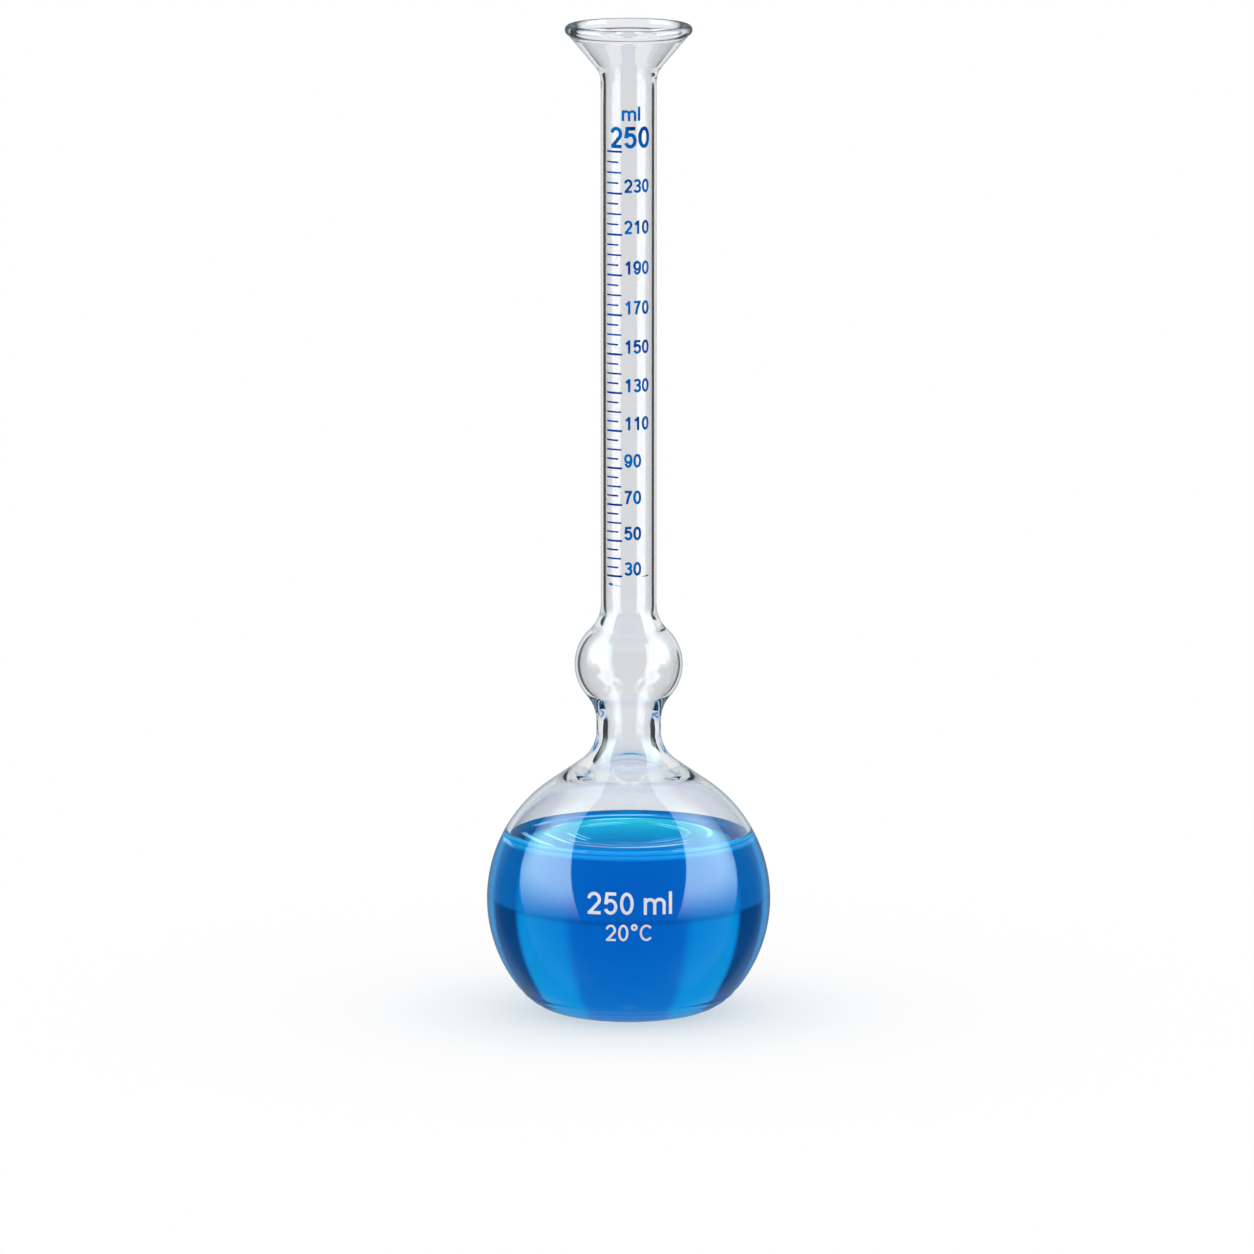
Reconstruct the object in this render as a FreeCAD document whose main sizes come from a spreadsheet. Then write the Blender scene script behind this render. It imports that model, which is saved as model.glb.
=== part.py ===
# Density flask of blown clear glass, with blue liquid in its bulb and a fired-on scale.
#
# The flask is one piece of glass: a round bulb on a flat foot, a short thick-walled lower
# neck, a small bulb, a long neck that carries the scale, and a funnel mouth with a beaded
# rim. It is drawn as the section of its wall and turned about its axis. The liquid lies in
# the round bulb, and the scale strokes are bands of enamel that hug the neck.
#
# Millimetres. The origin is the centre of the foot, +Z goes up the axis, and the scale
# faces -Y.

import FreeCAD
import Part
import Sketcher
import math
import os

Vector = FreeCAD.Vector

# Driving sizes, in millimetres and degrees.
SIZES = {
    # Round bulb: a ball with a flat foot, a rounded heel and a sloping shoulder
    "bulb_diameter": 85.0,
    "bulb_centre_height": 34.0,
    "bulb_wall": 1.5,
    "heel_radius": 18.4,
    "inner_heel_radius": 16.5,
    "foot_ring_width": 2.2,
    "foot_dish_rise": 1.0,
    "foot_wall": 2.4,
    "shoulder_slope": 35.0,
    "shoulder_radius": 11.3,
    "inner_shoulder_radius": 12.0,
    # Lower neck: short, with the thickest wall
    "lower_neck_diameter": 19.3,
    "lower_neck_wall": 3.15,
    "lower_neck_length": 2.9,
    # Small bulb, a little wider than it is round, with a hollow curve above and below
    "small_bulb_diameter": 32.3,
    "small_bulb_side_radius": 14.15,
    "small_bulb_wall": 1.3,
    "small_bulb_lower_radius": 12.0,
    "small_bulb_upper_radius": 11.0,
    "small_bulb_inner_corner": 6.0,
    # Long neck
    "neck_diameter": 16.6,
    "neck_wall": 1.4,
    "neck_length": 156.8,
    # Funnel mouth and its beaded rim
    "funnel_half_angle": 40.0,
    "funnel_wall": 1.5,
    "funnel_radius": 7.0,
    "inner_funnel_radius": 4.0,
    "rim_diameter": 37.9,
    "rim_bead_radius": 1.55,
    "rim_bead_overhang": 0.2,
    # Liquid: its level, and the film between it and the glass
    "liquid_level": 53.8,
    "liquid_clearance": 0.1,
    # Scale: enamel strokes up the neck, closer together towards its foot
    "mark_count": 45,
    "lowest_mark_rise": 9.5,
    "lowest_mark_pitch": 2.645,
    "highest_mark_pitch": 3.145,
    "enamel_thickness": 0.1,
    "mark_start_angle": 49.5,
    "long_mark_angle": 36.2,
    "medium_mark_angle": 34.3,
    "short_mark_angle": 27.8,
    "long_mark_width": 0.6,
    "short_mark_width": 0.5,
}

# The scale repeats a long, a short, a medium and a short stroke, from either end.
MARKS_PER_LONG = 4

# Sketch names for the parts of a line or an arc, and for the origin and the two axes.
START, END, CENTRE = 1, 2, 3
ORIGIN = (-1, 1)
ACROSS, UPWARDS = -1, -2

FRONT_AZIMUTH = 270.0


def make_sheet(doc):
    """Writes every driving size into a spreadsheet, as a named cell."""
    sheet = doc.addObject("Spreadsheet::Sheet", "Sizes")
    for row, (name, value) in enumerate(SIZES.items(), start=1):
        sheet.set(f"A{row}", name)
        sheet.set(f"B{row}", str(value))
        sheet.setAlias(f"B{row}", name)
    doc.recompute()


def direction(angle):
    """Unit vector at an angle in degrees, counted from outwards round to upwards."""
    return Vector(math.cos(math.radians(angle)), math.sin(math.radians(angle)), 0)


def towards(start, end, distance):
    """Point at a distance from start on the way to end."""
    way = end - start
    return start + way.normalize() * distance


def blend_centre(x, about, reach, side):
    """Centre at radius x and at the distance reach from another centre, above or below it."""
    rise = math.sqrt(reach ** 2 - (x - about.x) ** 2)
    return Vector(x, about.y + side * rise, 0)


class Section:
    """Half of a turned shape, drawn in a sketch piece by piece around its closed outline."""

    def __init__(self, body, name):
        plane = next(f for f in body.Origin.OriginFeatures if f.Role == "XZ_Plane")
        self.sketch = body.newObject("Sketcher::SketchObject", name)
        self.sketch.AttachmentSupport = [(plane, "")]
        self.sketch.MapMode = "FlatFace"
        self.ends = {}

    def line(self, start, end):
        """Adds a straight piece from start to end."""
        piece = self.sketch.addGeometry(Part.LineSegment(start, end))
        self.ends[piece] = (START, END)
        return piece

    def arc(self, centre, start, end, left):
        """Adds a round piece about centre, turning left or right on its way to end."""
        first, last = (start, end) if left else (end, start)
        spoke, last_spoke = first - centre, last - centre
        angle = math.atan2(spoke.y, spoke.x)
        last_angle = math.atan2(last_spoke.y, last_spoke.x)
        if last_angle < angle:
            last_angle += 2 * math.pi
        circle = Part.Circle(centre, Vector(0, 0, 1), spoke.Length)
        piece = self.sketch.addGeometry(Part.ArcOfCircle(circle, angle, last_angle))
        self.ends[piece] = (START, END) if left else (END, START)
        return piece

    def join(self, pieces, corners):
        """Joins each piece to the next and the last to the first, smooth except at corners."""
        for piece, following in zip(pieces, pieces[1:] + pieces[:1]):
            kind = "Coincident" if (piece, following) in corners else "Tangent"
            ends = (piece, self.ends[piece][1], following, self.ends[following][0])
            self.sketch.addConstraint(Sketcher.Constraint(kind, *ends))

    def rule(self, kind, *places):
        """Adds a rule without a size, such as upright or concentric."""
        self.sketch.addConstraint(Sketcher.Constraint(kind, *places))

    def size(self, name, kind, *places, by):
        """Adds a named dimension as it is drawn, and ties it to the sheet."""
        drawn = self.measure(kind, places)
        number = self.sketch.addConstraint(Sketcher.Constraint(kind, *places, drawn))
        self.sketch.renameConstraint(number, name)
        self.sketch.setExpression(f"Constraints.{name}", by)

    def reading(self, name, kind, *places):
        """Adds a named dimension that follows the drawing, for other pieces to read."""
        drawn = self.measure(kind, places)
        number = self.sketch.addConstraint(Sketcher.Constraint(kind, *places, drawn))
        self.sketch.setDriving(number, False)
        self.sketch.renameConstraint(number, name)

    def measure(self, kind, places):
        """Present value of a dimension."""
        shapes = self.sketch.Geometry
        if kind == "Radius":
            return shapes[places[0]].Radius
        if kind == "Angle":
            way = shapes[places[0]].EndPoint - shapes[places[0]].StartPoint
            return math.atan2(way.y, way.x)
        if kind == "Distance" and len(places) == 1:
            return shapes[places[0]].length()
        if kind == "Distance":
            point = self.sketch.getPoint(places[0], places[1])
            line = shapes[places[2]]
            way = (line.EndPoint - line.StartPoint).normalize()
            return (point - line.StartPoint).cross(way).Length
        gap = self.sketch.getPoint(*places[2:]) - self.sketch.getPoint(*places[:2])
        return gap.x if kind == "DistanceX" else gap.y


def flask_places():
    """Centres and meeting points of the flask's wall section, worked out from the sizes."""
    s = {name: float(value) for name, value in SIZES.items()}
    p = {}
    up = Vector(0, 1, 0)
    out = Vector(1, 0, 0)

    # Round bulb: foot, heel, side and shoulder
    bulb = s["bulb_diameter"] / 2
    p["bulb"] = up * s["bulb_centre_height"]
    above_heel = s["bulb_centre_height"] - s["heel_radius"]
    p["heel"] = Vector(math.sqrt((bulb - s["heel_radius"]) ** 2 - above_heel ** 2),
                       s["heel_radius"], 0)
    p["foot_outer"] = out * p["heel"].x
    p["foot_inner"] = out * (p["heel"].x - s["foot_ring_width"])
    p["foot_top"] = up * s["foot_dish_rise"]
    dome = (p["foot_inner"].x ** 2 + s["foot_dish_rise"] ** 2) / (2 * s["foot_dish_rise"])
    p["dome"] = up * (s["foot_dish_rise"] - dome)
    p["heel_end"] = towards(p["bulb"], p["heel"], bulb)
    slope = direction(90 - s["shoulder_slope"])
    p["side_end"] = p["bulb"] + slope * bulb
    lower = s["lower_neck_diameter"] / 2
    shoulder_x = lower + s["shoulder_radius"]
    reach = bulb + s["shoulder_radius"] - slope.x * shoulder_x
    p["shoulder"] = Vector(shoulder_x, p["bulb"].y + reach / slope.y, 0)
    p["slope_end"] = p["shoulder"] - slope * s["shoulder_radius"]

    # Lower neck and small bulb
    p["lower_foot"] = Vector(lower, p["shoulder"].y, 0)
    p["lower_top"] = p["lower_foot"] + up * s["lower_neck_length"]
    p["under"] = p["lower_top"] + out * s["small_bulb_lower_radius"]
    side = s["small_bulb_side_radius"]
    small_x = s["small_bulb_diameter"] / 2 - side
    p["small"] = blend_centre(small_x, p["under"], side + s["small_bulb_lower_radius"], 1)
    p["under_end"] = towards(p["small"], p["under"], side)
    over_x = s["neck_diameter"] / 2 + s["small_bulb_upper_radius"]
    p["over"] = blend_centre(over_x, p["small"], side + s["small_bulb_upper_radius"], 1)
    p["small_end"] = towards(p["small"], p["over"], side)

    # Long neck, funnel and rim
    p["neck_foot"] = Vector(s["neck_diameter"] / 2, p["over"].y, 0)
    p["neck_top"] = p["neck_foot"] + up * s["neck_length"]
    p["flare"] = p["neck_top"] + out * s["funnel_radius"]
    outward = direction(-s["funnel_half_angle"])
    down = direction(-90 - s["funnel_half_angle"])
    p["flare_end"] = p["flare"] - outward * s["funnel_radius"]
    bead = s["rim_bead_radius"]
    bead_x = s["rim_diameter"] / 2 - bead
    inset = bead - s["rim_bead_overhang"]
    along = (bead_x - p["flare_end"].x + outward.x * inset) / -down.x
    p["bead"] = p["flare_end"] - down * along - outward * inset
    p["bead_start"] = p["bead"] + outward * inset + down * math.sqrt(bead ** 2 - inset ** 2)
    inner_inset = inset - s["funnel_wall"]
    inner_drop = math.sqrt(bead ** 2 - inner_inset ** 2)
    p["bead_end"] = p["bead"] + outward * inner_inset + down * inner_drop

    # Inside of the funnel and the neck
    bore = s["neck_diameter"] / 2 - s["neck_wall"]
    throat = s["inner_funnel_radius"]
    throat_x = bore + throat
    along = (p["bead_end"].x + outward.x * throat - throat_x) / -down.x
    p["throat"] = p["bead_end"] + down * along + outward * throat
    p["throat_start"] = p["throat"] - outward * throat
    p["bore_top"] = p["throat"] - out * throat

    # Inside of the small bulb
    corner = s["small_bulb_inner_corner"]
    inner_side = side - s["small_bulb_wall"]
    p["upper_corner"] = blend_centre(bore + corner, p["small"], inner_side + corner, 1)
    p["bore_foot"] = p["upper_corner"] - out * corner
    p["upper_corner_end"] = towards(p["small"], p["upper_corner"], inner_side)
    lower_bore = lower - s["lower_neck_wall"]
    p["lower_corner"] = blend_centre(lower_bore + corner, p["small"], inner_side + corner, -1)
    p["lower_corner_start"] = towards(p["small"], p["lower_corner"], inner_side)
    p["lower_bore_top"] = p["lower_corner"] - out * corner

    # Inside of the round bulb
    ball = bulb - s["bulb_wall"]
    inner_shoulder = s["inner_shoulder_radius"]
    inner_x = lower_bore + inner_shoulder
    p["inner_shoulder"] = blend_centre(inner_x, p["bulb"], ball + inner_shoulder, 1)
    p["lower_bore_foot"] = p["inner_shoulder"] - out * inner_shoulder
    p["inner_shoulder_end"] = towards(p["bulb"], p["inner_shoulder"], ball)
    floor = dome + s["foot_wall"]
    p["inner_heel"] = heel_between(p["bulb"], ball, p["dome"], floor, s["inner_heel_radius"])
    p["inner_heel_start"] = towards(p["bulb"], p["inner_heel"], ball)
    p["floor_edge"] = towards(p["dome"], p["inner_heel"], floor)
    p["floor_top"] = p["dome"] + up * floor
    return p


def heel_between(bulb, ball, dome, floor, heel):
    """Centre of the curve that blends the inside of the ball into the domed floor."""
    ball_reach = ball - heel
    floor_reach = floor + heel
    span = bulb.y - dome.y
    rise = (floor_reach ** 2 - ball_reach ** 2 + span ** 2) / (2 * span)
    return Vector(math.sqrt(floor_reach ** 2 - rise ** 2), dome.y + rise, 0)


def make_flask(doc):
    """One piece of blown glass: the section of its wall, turned about the axis."""
    body = doc.addObject("PartDesign::Body", "flask")
    p = flask_places()
    wall = Section(body, "flask_section")

    # Outside, from the middle of the foot up to the rim
    dish = wall.arc(p["dome"], p["foot_top"], p["foot_inner"], left=False)
    foot = wall.line(p["foot_inner"], p["foot_outer"])
    heel = wall.arc(p["heel"], p["foot_outer"], p["heel_end"], left=True)
    side = wall.arc(p["bulb"], p["heel_end"], p["side_end"], left=True)
    slope = wall.line(p["side_end"], p["slope_end"])
    shoulder = wall.arc(p["shoulder"], p["slope_end"], p["lower_foot"], left=False)
    lower_neck = wall.line(p["lower_foot"], p["lower_top"])
    under = wall.arc(p["under"], p["lower_top"], p["under_end"], left=False)
    small = wall.arc(p["small"], p["under_end"], p["small_end"], left=True)
    over = wall.arc(p["over"], p["small_end"], p["neck_foot"], left=False)
    neck = wall.line(p["neck_foot"], p["neck_top"])
    flare = wall.arc(p["flare"], p["neck_top"], p["flare_end"], left=False)
    funnel = wall.line(p["flare_end"], p["bead_start"])
    bead = wall.arc(p["bead"], p["bead_start"], p["bead_end"], left=True)

    # Inside, from the rim down to the floor, and the axis
    inner_funnel = wall.line(p["bead_end"], p["throat_start"])
    throat = wall.arc(p["throat"], p["throat_start"], p["bore_top"], left=True)
    bore = wall.line(p["bore_top"], p["bore_foot"])
    upper_corner = wall.arc(p["upper_corner"], p["bore_foot"], p["upper_corner_end"], left=True)
    inner_small = wall.arc(p["small"], p["upper_corner_end"], p["lower_corner_start"], left=False)
    lower_corner = wall.arc(p["lower_corner"], p["lower_corner_start"], p["lower_bore_top"],
                            left=True)
    lower_bore = wall.line(p["lower_bore_top"], p["lower_bore_foot"])
    inner_shoulder = wall.arc(p["inner_shoulder"], p["lower_bore_foot"],
                              p["inner_shoulder_end"], left=True)
    inner_side = wall.arc(p["bulb"], p["inner_shoulder_end"], p["inner_heel_start"], left=False)
    inner_heel = wall.arc(p["inner_heel"], p["inner_heel_start"], p["floor_edge"], left=False)
    floor = wall.arc(p["dome"], p["floor_edge"], p["floor_top"], left=True)
    middle = wall.line(p["floor_top"], p["foot_top"])

    outline = [dish, foot, heel, side, slope, shoulder, lower_neck, under, small, over, neck,
               flare, funnel, bead, inner_funnel, throat, bore, upper_corner, inner_small,
               lower_corner, lower_bore, inner_shoulder, inner_side, inner_heel, floor, middle]
    corners = {(dish, foot), (funnel, bead), (bead, inner_funnel), (floor, middle), (middle, dish)}
    wall.join(outline, corners)

    # Round bulb
    wall.rule("PointOnObject", middle, START, UPWARDS)
    wall.rule("PointOnObject", middle, END, UPWARDS)
    wall.rule("PointOnObject", foot, START, ACROSS)
    wall.rule("PointOnObject", foot, END, ACROSS)
    wall.rule("PointOnObject", dish, CENTRE, UPWARDS)
    wall.rule("PointOnObject", side, CENTRE, UPWARDS)
    wall.rule("Coincident", floor, CENTRE, dish, CENTRE)
    wall.rule("Coincident", inner_side, CENTRE, side, CENTRE)
    wall.size("foot_ring", "Distance", foot, by="Sizes.foot_ring_width")
    wall.size("dish_rise", "DistanceY", *ORIGIN, middle, END, by="Sizes.foot_dish_rise")
    wall.size("foot_wall", "Distance", middle, by="Sizes.foot_wall")
    wall.size("heel_radius", "Radius", heel, by="Sizes.heel_radius")
    wall.size("inner_heel_radius", "Radius", inner_heel, by="Sizes.inner_heel_radius")
    wall.size("bulb_centre", "DistanceY", *ORIGIN, side, CENTRE, by="Sizes.bulb_centre_height")
    wall.size("bulb_radius", "Radius", side, by="Sizes.bulb_diameter / 2")
    wall.size("ball_radius", "Radius", inner_side, by="Sizes.bulb_diameter / 2 - Sizes.bulb_wall")
    wall.size("slope", "Angle", slope, by="(180 - Sizes.shoulder_slope) * 1 deg")
    wall.size("shoulder_radius", "Radius", shoulder, by="Sizes.shoulder_radius")
    wall.size("inner_shoulder", "Radius", inner_shoulder, by="Sizes.inner_shoulder_radius")

    # Lower neck and small bulb
    lower_bore_size = "Sizes.lower_neck_diameter / 2 - Sizes.lower_neck_wall"
    small_side = "Sizes.small_bulb_side_radius"
    wall.rule("Vertical", lower_neck)
    wall.rule("Vertical", lower_bore)
    wall.rule("Coincident", inner_small, CENTRE, small, CENTRE)
    wall.size("lower_neck_length", "Distance", lower_neck, by="Sizes.lower_neck_length")
    wall.size("lower_neck_radius", "DistanceX", *ORIGIN, lower_neck, START,
              by="Sizes.lower_neck_diameter / 2")
    wall.size("lower_bore_radius", "DistanceX", *ORIGIN, lower_bore, START, by=lower_bore_size)
    wall.size("under_radius", "Radius", under, by="Sizes.small_bulb_lower_radius")
    wall.size("small_radius", "Radius", small, by=small_side)
    wall.size("small_centre", "DistanceX", *ORIGIN, small, CENTRE,
              by=f"Sizes.small_bulb_diameter / 2 - {small_side}")
    wall.size("inner_small_radius", "Radius", inner_small,
              by=f"{small_side} - Sizes.small_bulb_wall")
    wall.size("over_radius", "Radius", over, by="Sizes.small_bulb_upper_radius")
    wall.size("upper_corner", "Radius", upper_corner, by="Sizes.small_bulb_inner_corner")
    wall.size("lower_corner", "Radius", lower_corner, by="Sizes.small_bulb_inner_corner")

    # Long neck, funnel and rim
    wall.rule("Vertical", neck)
    wall.rule("Vertical", bore)
    wall.rule("Parallel", inner_funnel, funnel)
    wall.size("neck_radius", "DistanceX", *ORIGIN, neck, START, by="Sizes.neck_diameter / 2")
    wall.size("neck_length", "Distance", neck, by="Sizes.neck_length")
    wall.size("bore_radius", "DistanceX", *ORIGIN, bore, START,
              by="Sizes.neck_diameter / 2 - Sizes.neck_wall")
    wall.size("flare_radius", "Radius", flare, by="Sizes.funnel_radius")
    wall.size("throat_radius", "Radius", throat, by="Sizes.inner_funnel_radius")
    wall.size("funnel_angle", "Angle", funnel, by="(90 - Sizes.funnel_half_angle) * 1 deg")
    wall.size("funnel_wall", "Distance", inner_funnel, END, funnel, by="Sizes.funnel_wall")
    wall.size("bead_radius", "Radius", bead, by="Sizes.rim_bead_radius")
    wall.size("bead_centre", "DistanceX", *ORIGIN, bead, CENTRE,
              by="Sizes.rim_diameter / 2 - Sizes.rim_bead_radius")
    wall.size("bead_inset", "Distance", bead, CENTRE, funnel,
              by="Sizes.rim_bead_radius - Sizes.rim_bead_overhang")

    # Sizes that the liquid and the scale read
    wall.reading("dome_radius", "Radius", dish)
    wall.reading("dome_depth", "DistanceY", dish, CENTRE, *ORIGIN)
    wall.reading("neck_foot_height", "DistanceY", *ORIGIN, neck, START)

    turn(body, wall.sketch)
    return body


def make_liquid(doc):
    """Blue liquid in the round bulb, up to its level, a film's width clear of the glass."""
    body = doc.addObject("PartDesign::Body", "liquid")
    film = SIZES["liquid_clearance"]
    p = flask_places()
    ball = SIZES["bulb_diameter"] / 2 - SIZES["bulb_wall"] - film
    floor = (p["floor_top"] - p["dome"]).Length + film
    surface = Vector(0, SIZES["liquid_level"], 0)
    brim = Vector(math.sqrt(ball ** 2 - (surface.y - p["bulb"].y) ** 2), surface.y, 0)
    heel_start = towards(p["bulb"], p["inner_heel"], ball)
    floor_edge = towards(p["dome"], p["inner_heel"], floor)
    floor_top = p["floor_top"] + Vector(0, film, 0)

    fill = Section(body, "liquid_section")
    bottom = fill.arc(p["dome"], floor_top, floor_edge, left=False)
    heel = fill.arc(p["inner_heel"], floor_edge, heel_start, left=True)
    side = fill.arc(p["bulb"], heel_start, brim, left=True)
    level = fill.line(brim, surface)
    middle = fill.line(surface, floor_top)
    outline = [bottom, heel, side, level, middle]
    fill.join(outline, {(side, level), (level, middle), (middle, bottom)})
    fill.rule("PointOnObject", middle, START, UPWARDS)
    fill.rule("PointOnObject", middle, END, UPWARDS)
    fill.rule("PointOnObject", bottom, CENTRE, UPWARDS)
    fill.rule("PointOnObject", side, CENTRE, UPWARDS)
    fill.rule("Horizontal", level)
    fill.size("level", "DistanceY", *ORIGIN, level, END, by="Sizes.liquid_level")
    fill.size("floor_depth", "DistanceY", bottom, CENTRE, *ORIGIN,
              by="flask_section.Constraints.dome_depth")
    fill.size("floor_radius", "Radius", bottom,
              by="flask_section.Constraints.dome_radius"
                 " + (Sizes.foot_wall + Sizes.liquid_clearance) * 1 mm")
    fill.size("heel_radius", "Radius", heel,
              by="Sizes.inner_heel_radius - Sizes.liquid_clearance")
    fill.size("ball_centre", "DistanceY", *ORIGIN, side, CENTRE, by="Sizes.bulb_centre_height")
    fill.size("ball_radius", "Radius", side,
              by="Sizes.bulb_diameter / 2 - Sizes.bulb_wall - Sizes.liquid_clearance")
    turn(body, fill.sketch)
    return body


def turn(body, sketch):
    """Turns a section once round the axis."""
    turned = body.newObject("PartDesign::Revolution", f"{body.Name}_turned")
    turned.Profile = sketch
    turned.ReferenceAxis = (sketch, ["V_Axis"])
    turned.Angle = 360.0
    body.Tip = turned


def make_marks(doc):
    """Scale strokes: a sector of enamel for each, cut away where the glass neck is."""
    last = SIZES["mark_count"] - 1
    kinds = {0: "long", 2: "medium"}
    strokes = []
    for number in range(SIZES["mark_count"]):
        kind = kinds.get(number % MARKS_PER_LONG, "short")
        width = "Sizes.long_mark_width" if kind == "long" else "Sizes.short_mark_width"
        growth = f"(Sizes.highest_mark_pitch - Sizes.lowest_mark_pitch) * {number ** 2} / {2 * last}"
        rise = f"Sizes.lowest_mark_rise + Sizes.lowest_mark_pitch * {number} + {growth}"
        stroke = doc.addObject("Part::Cylinder", f"stroke_{number}")
        stroke.setExpression("Radius", "Sizes.neck_diameter / 2 + Sizes.enamel_thickness")
        stroke.setExpression("Height", width)
        stroke.setExpression("Angle", f"Sizes.{kind}_mark_angle * 1 deg")
        stroke.setExpression("Placement.Rotation.Angle",
                             f"({FRONT_AZIMUTH} - Sizes.mark_start_angle) * 1 deg")
        stroke.setExpression("Placement.Base.z",
                             "flask_section.Constraints.neck_foot_height"
                             f" + ({rise} - {width} / 2) * 1 mm")
        strokes.append(stroke)
    sectors = doc.addObject("Part::Compound", "sectors")
    sectors.Links = strokes
    neck = doc.addObject("Part::Cylinder", "neck_core")
    neck.setExpression("Radius", "Sizes.neck_diameter / 2")
    neck.setExpression("Height", "Sizes.neck_length")
    neck.setExpression("Placement.Base.z", "flask_section.Constraints.neck_foot_height")
    marks = doc.addObject("Part::Cut", "graduation_marks")
    marks.Base = sectors
    marks.Tool = neck
    return marks


def check(doc, parts):
    """Stops if an object failed to build or a sub-part has no sound solid."""
    for item in doc.Objects:
        if {"Invalid", "Error"} & set(item.State):
            raise RuntimeError(f"{item.Name} failed to build: {item.State}")
    for part in parts:
        if part.Shape.isNull() or not part.Shape.isValid() or not part.Shape.Solids:
            raise RuntimeError(f"{part.Label} has no sound solid")


def main():
    doc = FreeCAD.newDocument("density_flask")
    make_sheet(doc)
    flask = make_flask(doc)
    doc.recompute()
    parts = [flask, make_liquid(doc), make_marks(doc)]
    doc.recompute()
    for part in parts:
        part.Label = part.Name
    check(doc, parts)
    os.makedirs("parts", exist_ok=True)
    for part in parts:
        part.Shape.exportStep(os.path.join("parts", f"{part.Label}.step"))
        box = part.Shape.BoundBox
        print(f"{part.Label}: {len(part.Shape.Solids)} solid(s), volume {part.Shape.Volume:.0f}, "
              f"z {box.ZMin:.2f} to {box.ZMax:.2f}, width {box.XLength:.2f}")


main()
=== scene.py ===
# %% [markdown]
# # A glass density flask in Blender
#
# The flask is one piece of blown glass: a round bulb on a flat foot, a short thick-walled lower
# neck, a small bulb, a long neck that carries a blue scale, and a funnel mouth with a beaded rim.
# Blue liquid fills the round bulb to a little above its middle. This lesson gives each of these
# its shape and its finish, and then builds the studio that makes clear glass readable.
#
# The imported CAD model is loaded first. It is the fixed frame: every piece made below is in
# metres, in the same place as the CAD node that it dresses or stands for.

# %% Load the frame
import math

import bpy
import numpy as np
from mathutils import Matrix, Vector


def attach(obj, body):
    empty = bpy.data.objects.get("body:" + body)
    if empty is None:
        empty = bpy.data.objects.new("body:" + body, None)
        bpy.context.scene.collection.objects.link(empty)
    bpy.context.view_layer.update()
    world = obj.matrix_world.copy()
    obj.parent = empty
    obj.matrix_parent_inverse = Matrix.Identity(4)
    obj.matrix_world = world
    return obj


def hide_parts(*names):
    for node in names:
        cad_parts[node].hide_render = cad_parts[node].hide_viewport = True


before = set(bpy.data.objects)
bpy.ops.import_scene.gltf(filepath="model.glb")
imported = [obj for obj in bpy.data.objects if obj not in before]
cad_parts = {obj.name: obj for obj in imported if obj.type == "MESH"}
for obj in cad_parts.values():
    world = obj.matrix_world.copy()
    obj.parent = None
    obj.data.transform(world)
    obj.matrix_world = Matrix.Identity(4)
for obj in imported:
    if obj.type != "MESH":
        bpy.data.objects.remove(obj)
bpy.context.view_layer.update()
BODY = "root"
MM = 0.001

# %% [markdown]
# ## Writing shader maths as expressions
#
# A material's maths is easier to read as `1 - mask` than as a chain of nodes. `Wire` wraps one
# socket, and its operators add Math nodes. `Graph` makes every other node with one method: the
# settings go in first, because some of them change which sockets the node has.


# %% Two small helpers for node trees
class Wire:
    """A node's output that takes part in sums: each operator adds one Math node."""

    def __init__(self, graph, socket):
        self.graph = graph
        self.socket = socket

    def maths(self, operation, *operands):
        """The result of one Math node on wires and numbers."""
        return self.graph.node("ShaderNodeMath", {"operation": operation},
                               dict(enumerate(operands)))

    def __add__(self, other):
        return self.maths("ADD", self, other)

    def __sub__(self, other):
        return self.maths("SUBTRACT", self, other)

    def __mul__(self, other):
        return self.maths("MULTIPLY", self, other)

    def __radd__(self, other):
        return self.maths("ADD", other, self)

    def __rsub__(self, other):
        return self.maths("SUBTRACT", other, self)

    def __rmul__(self, other):
        return self.maths("MULTIPLY", other, self)

    def __abs__(self):
        return self.maths("ABSOLUTE", self)


class Graph:
    """The node tree of a material or a world, emptied and ready to be filled."""

    def __init__(self, owner):
        owner.use_nodes = True
        self.tree = owner.node_tree
        self.tree.nodes.clear()

    def node(self, kind, settings=None, inputs=None, output=0):
        """Makes a node, sets it, fills or links its inputs, and returns one of its outputs."""
        made = self.tree.nodes.new(kind)
        for name, value in (settings or {}).items():
            setattr(made, name, value)
        for key, value in (inputs or {}).items():
            socket = self.find(made.inputs, key)
            if isinstance(value, Wire):
                self.tree.links.new(value.socket, socket)
            else:
                socket.default_value = value
        return Wire(self, self.find(made.outputs, output)) if len(made.outputs) else None

    def find(self, sockets, key):
        """The socket with this number, identifier or name."""
        if isinstance(key, int):
            return sockets[key]
        exact = [s for s in sockets if s.identifier == key]
        return exact[0] if exact else sockets[key]

    def rise(self, value, low, high):
        """0 below low, 1 above high, and a smooth curve between them."""
        return self.node("ShaderNodeMapRange", {"interpolation_type": "SMOOTHSTEP"},
                         {"Value": value, "From Min": low, "From Max": high})

    def mix_colour(self, factor, first, second):
        """First colour at factor 0, second at factor 1."""
        return self.node("ShaderNodeMix", {"data_type": "RGBA"},
                         {"Factor_Float": factor, "A_Color": first, "B_Color": second},
                         output="Result_Color")


def screen_colour(red, green, blue):
    """Linear colour, with full alpha, of a colour given as it looks on a screen, 0 to 255.

    With s = value / 255 it is s / 12.92 for a dark value, or else ((s + 0.055) / 1.055) ^ 2.4.
    """
    share = np.array([red, green, blue]) / 255
    linear = np.where(share <= 0.04045, share / 12.92, ((share + 0.055) / 1.055) ** 2.4)
    return (*linear.tolist(), 1.0)


WHITE = (1.0, 1.0, 1.0, 1.0)
BLACK = (0.0, 0.0, 0.0, 1.0)
print("a screen's middle grey is linear", round(screen_colour(128, 128, 128)[0], 3))

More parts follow.
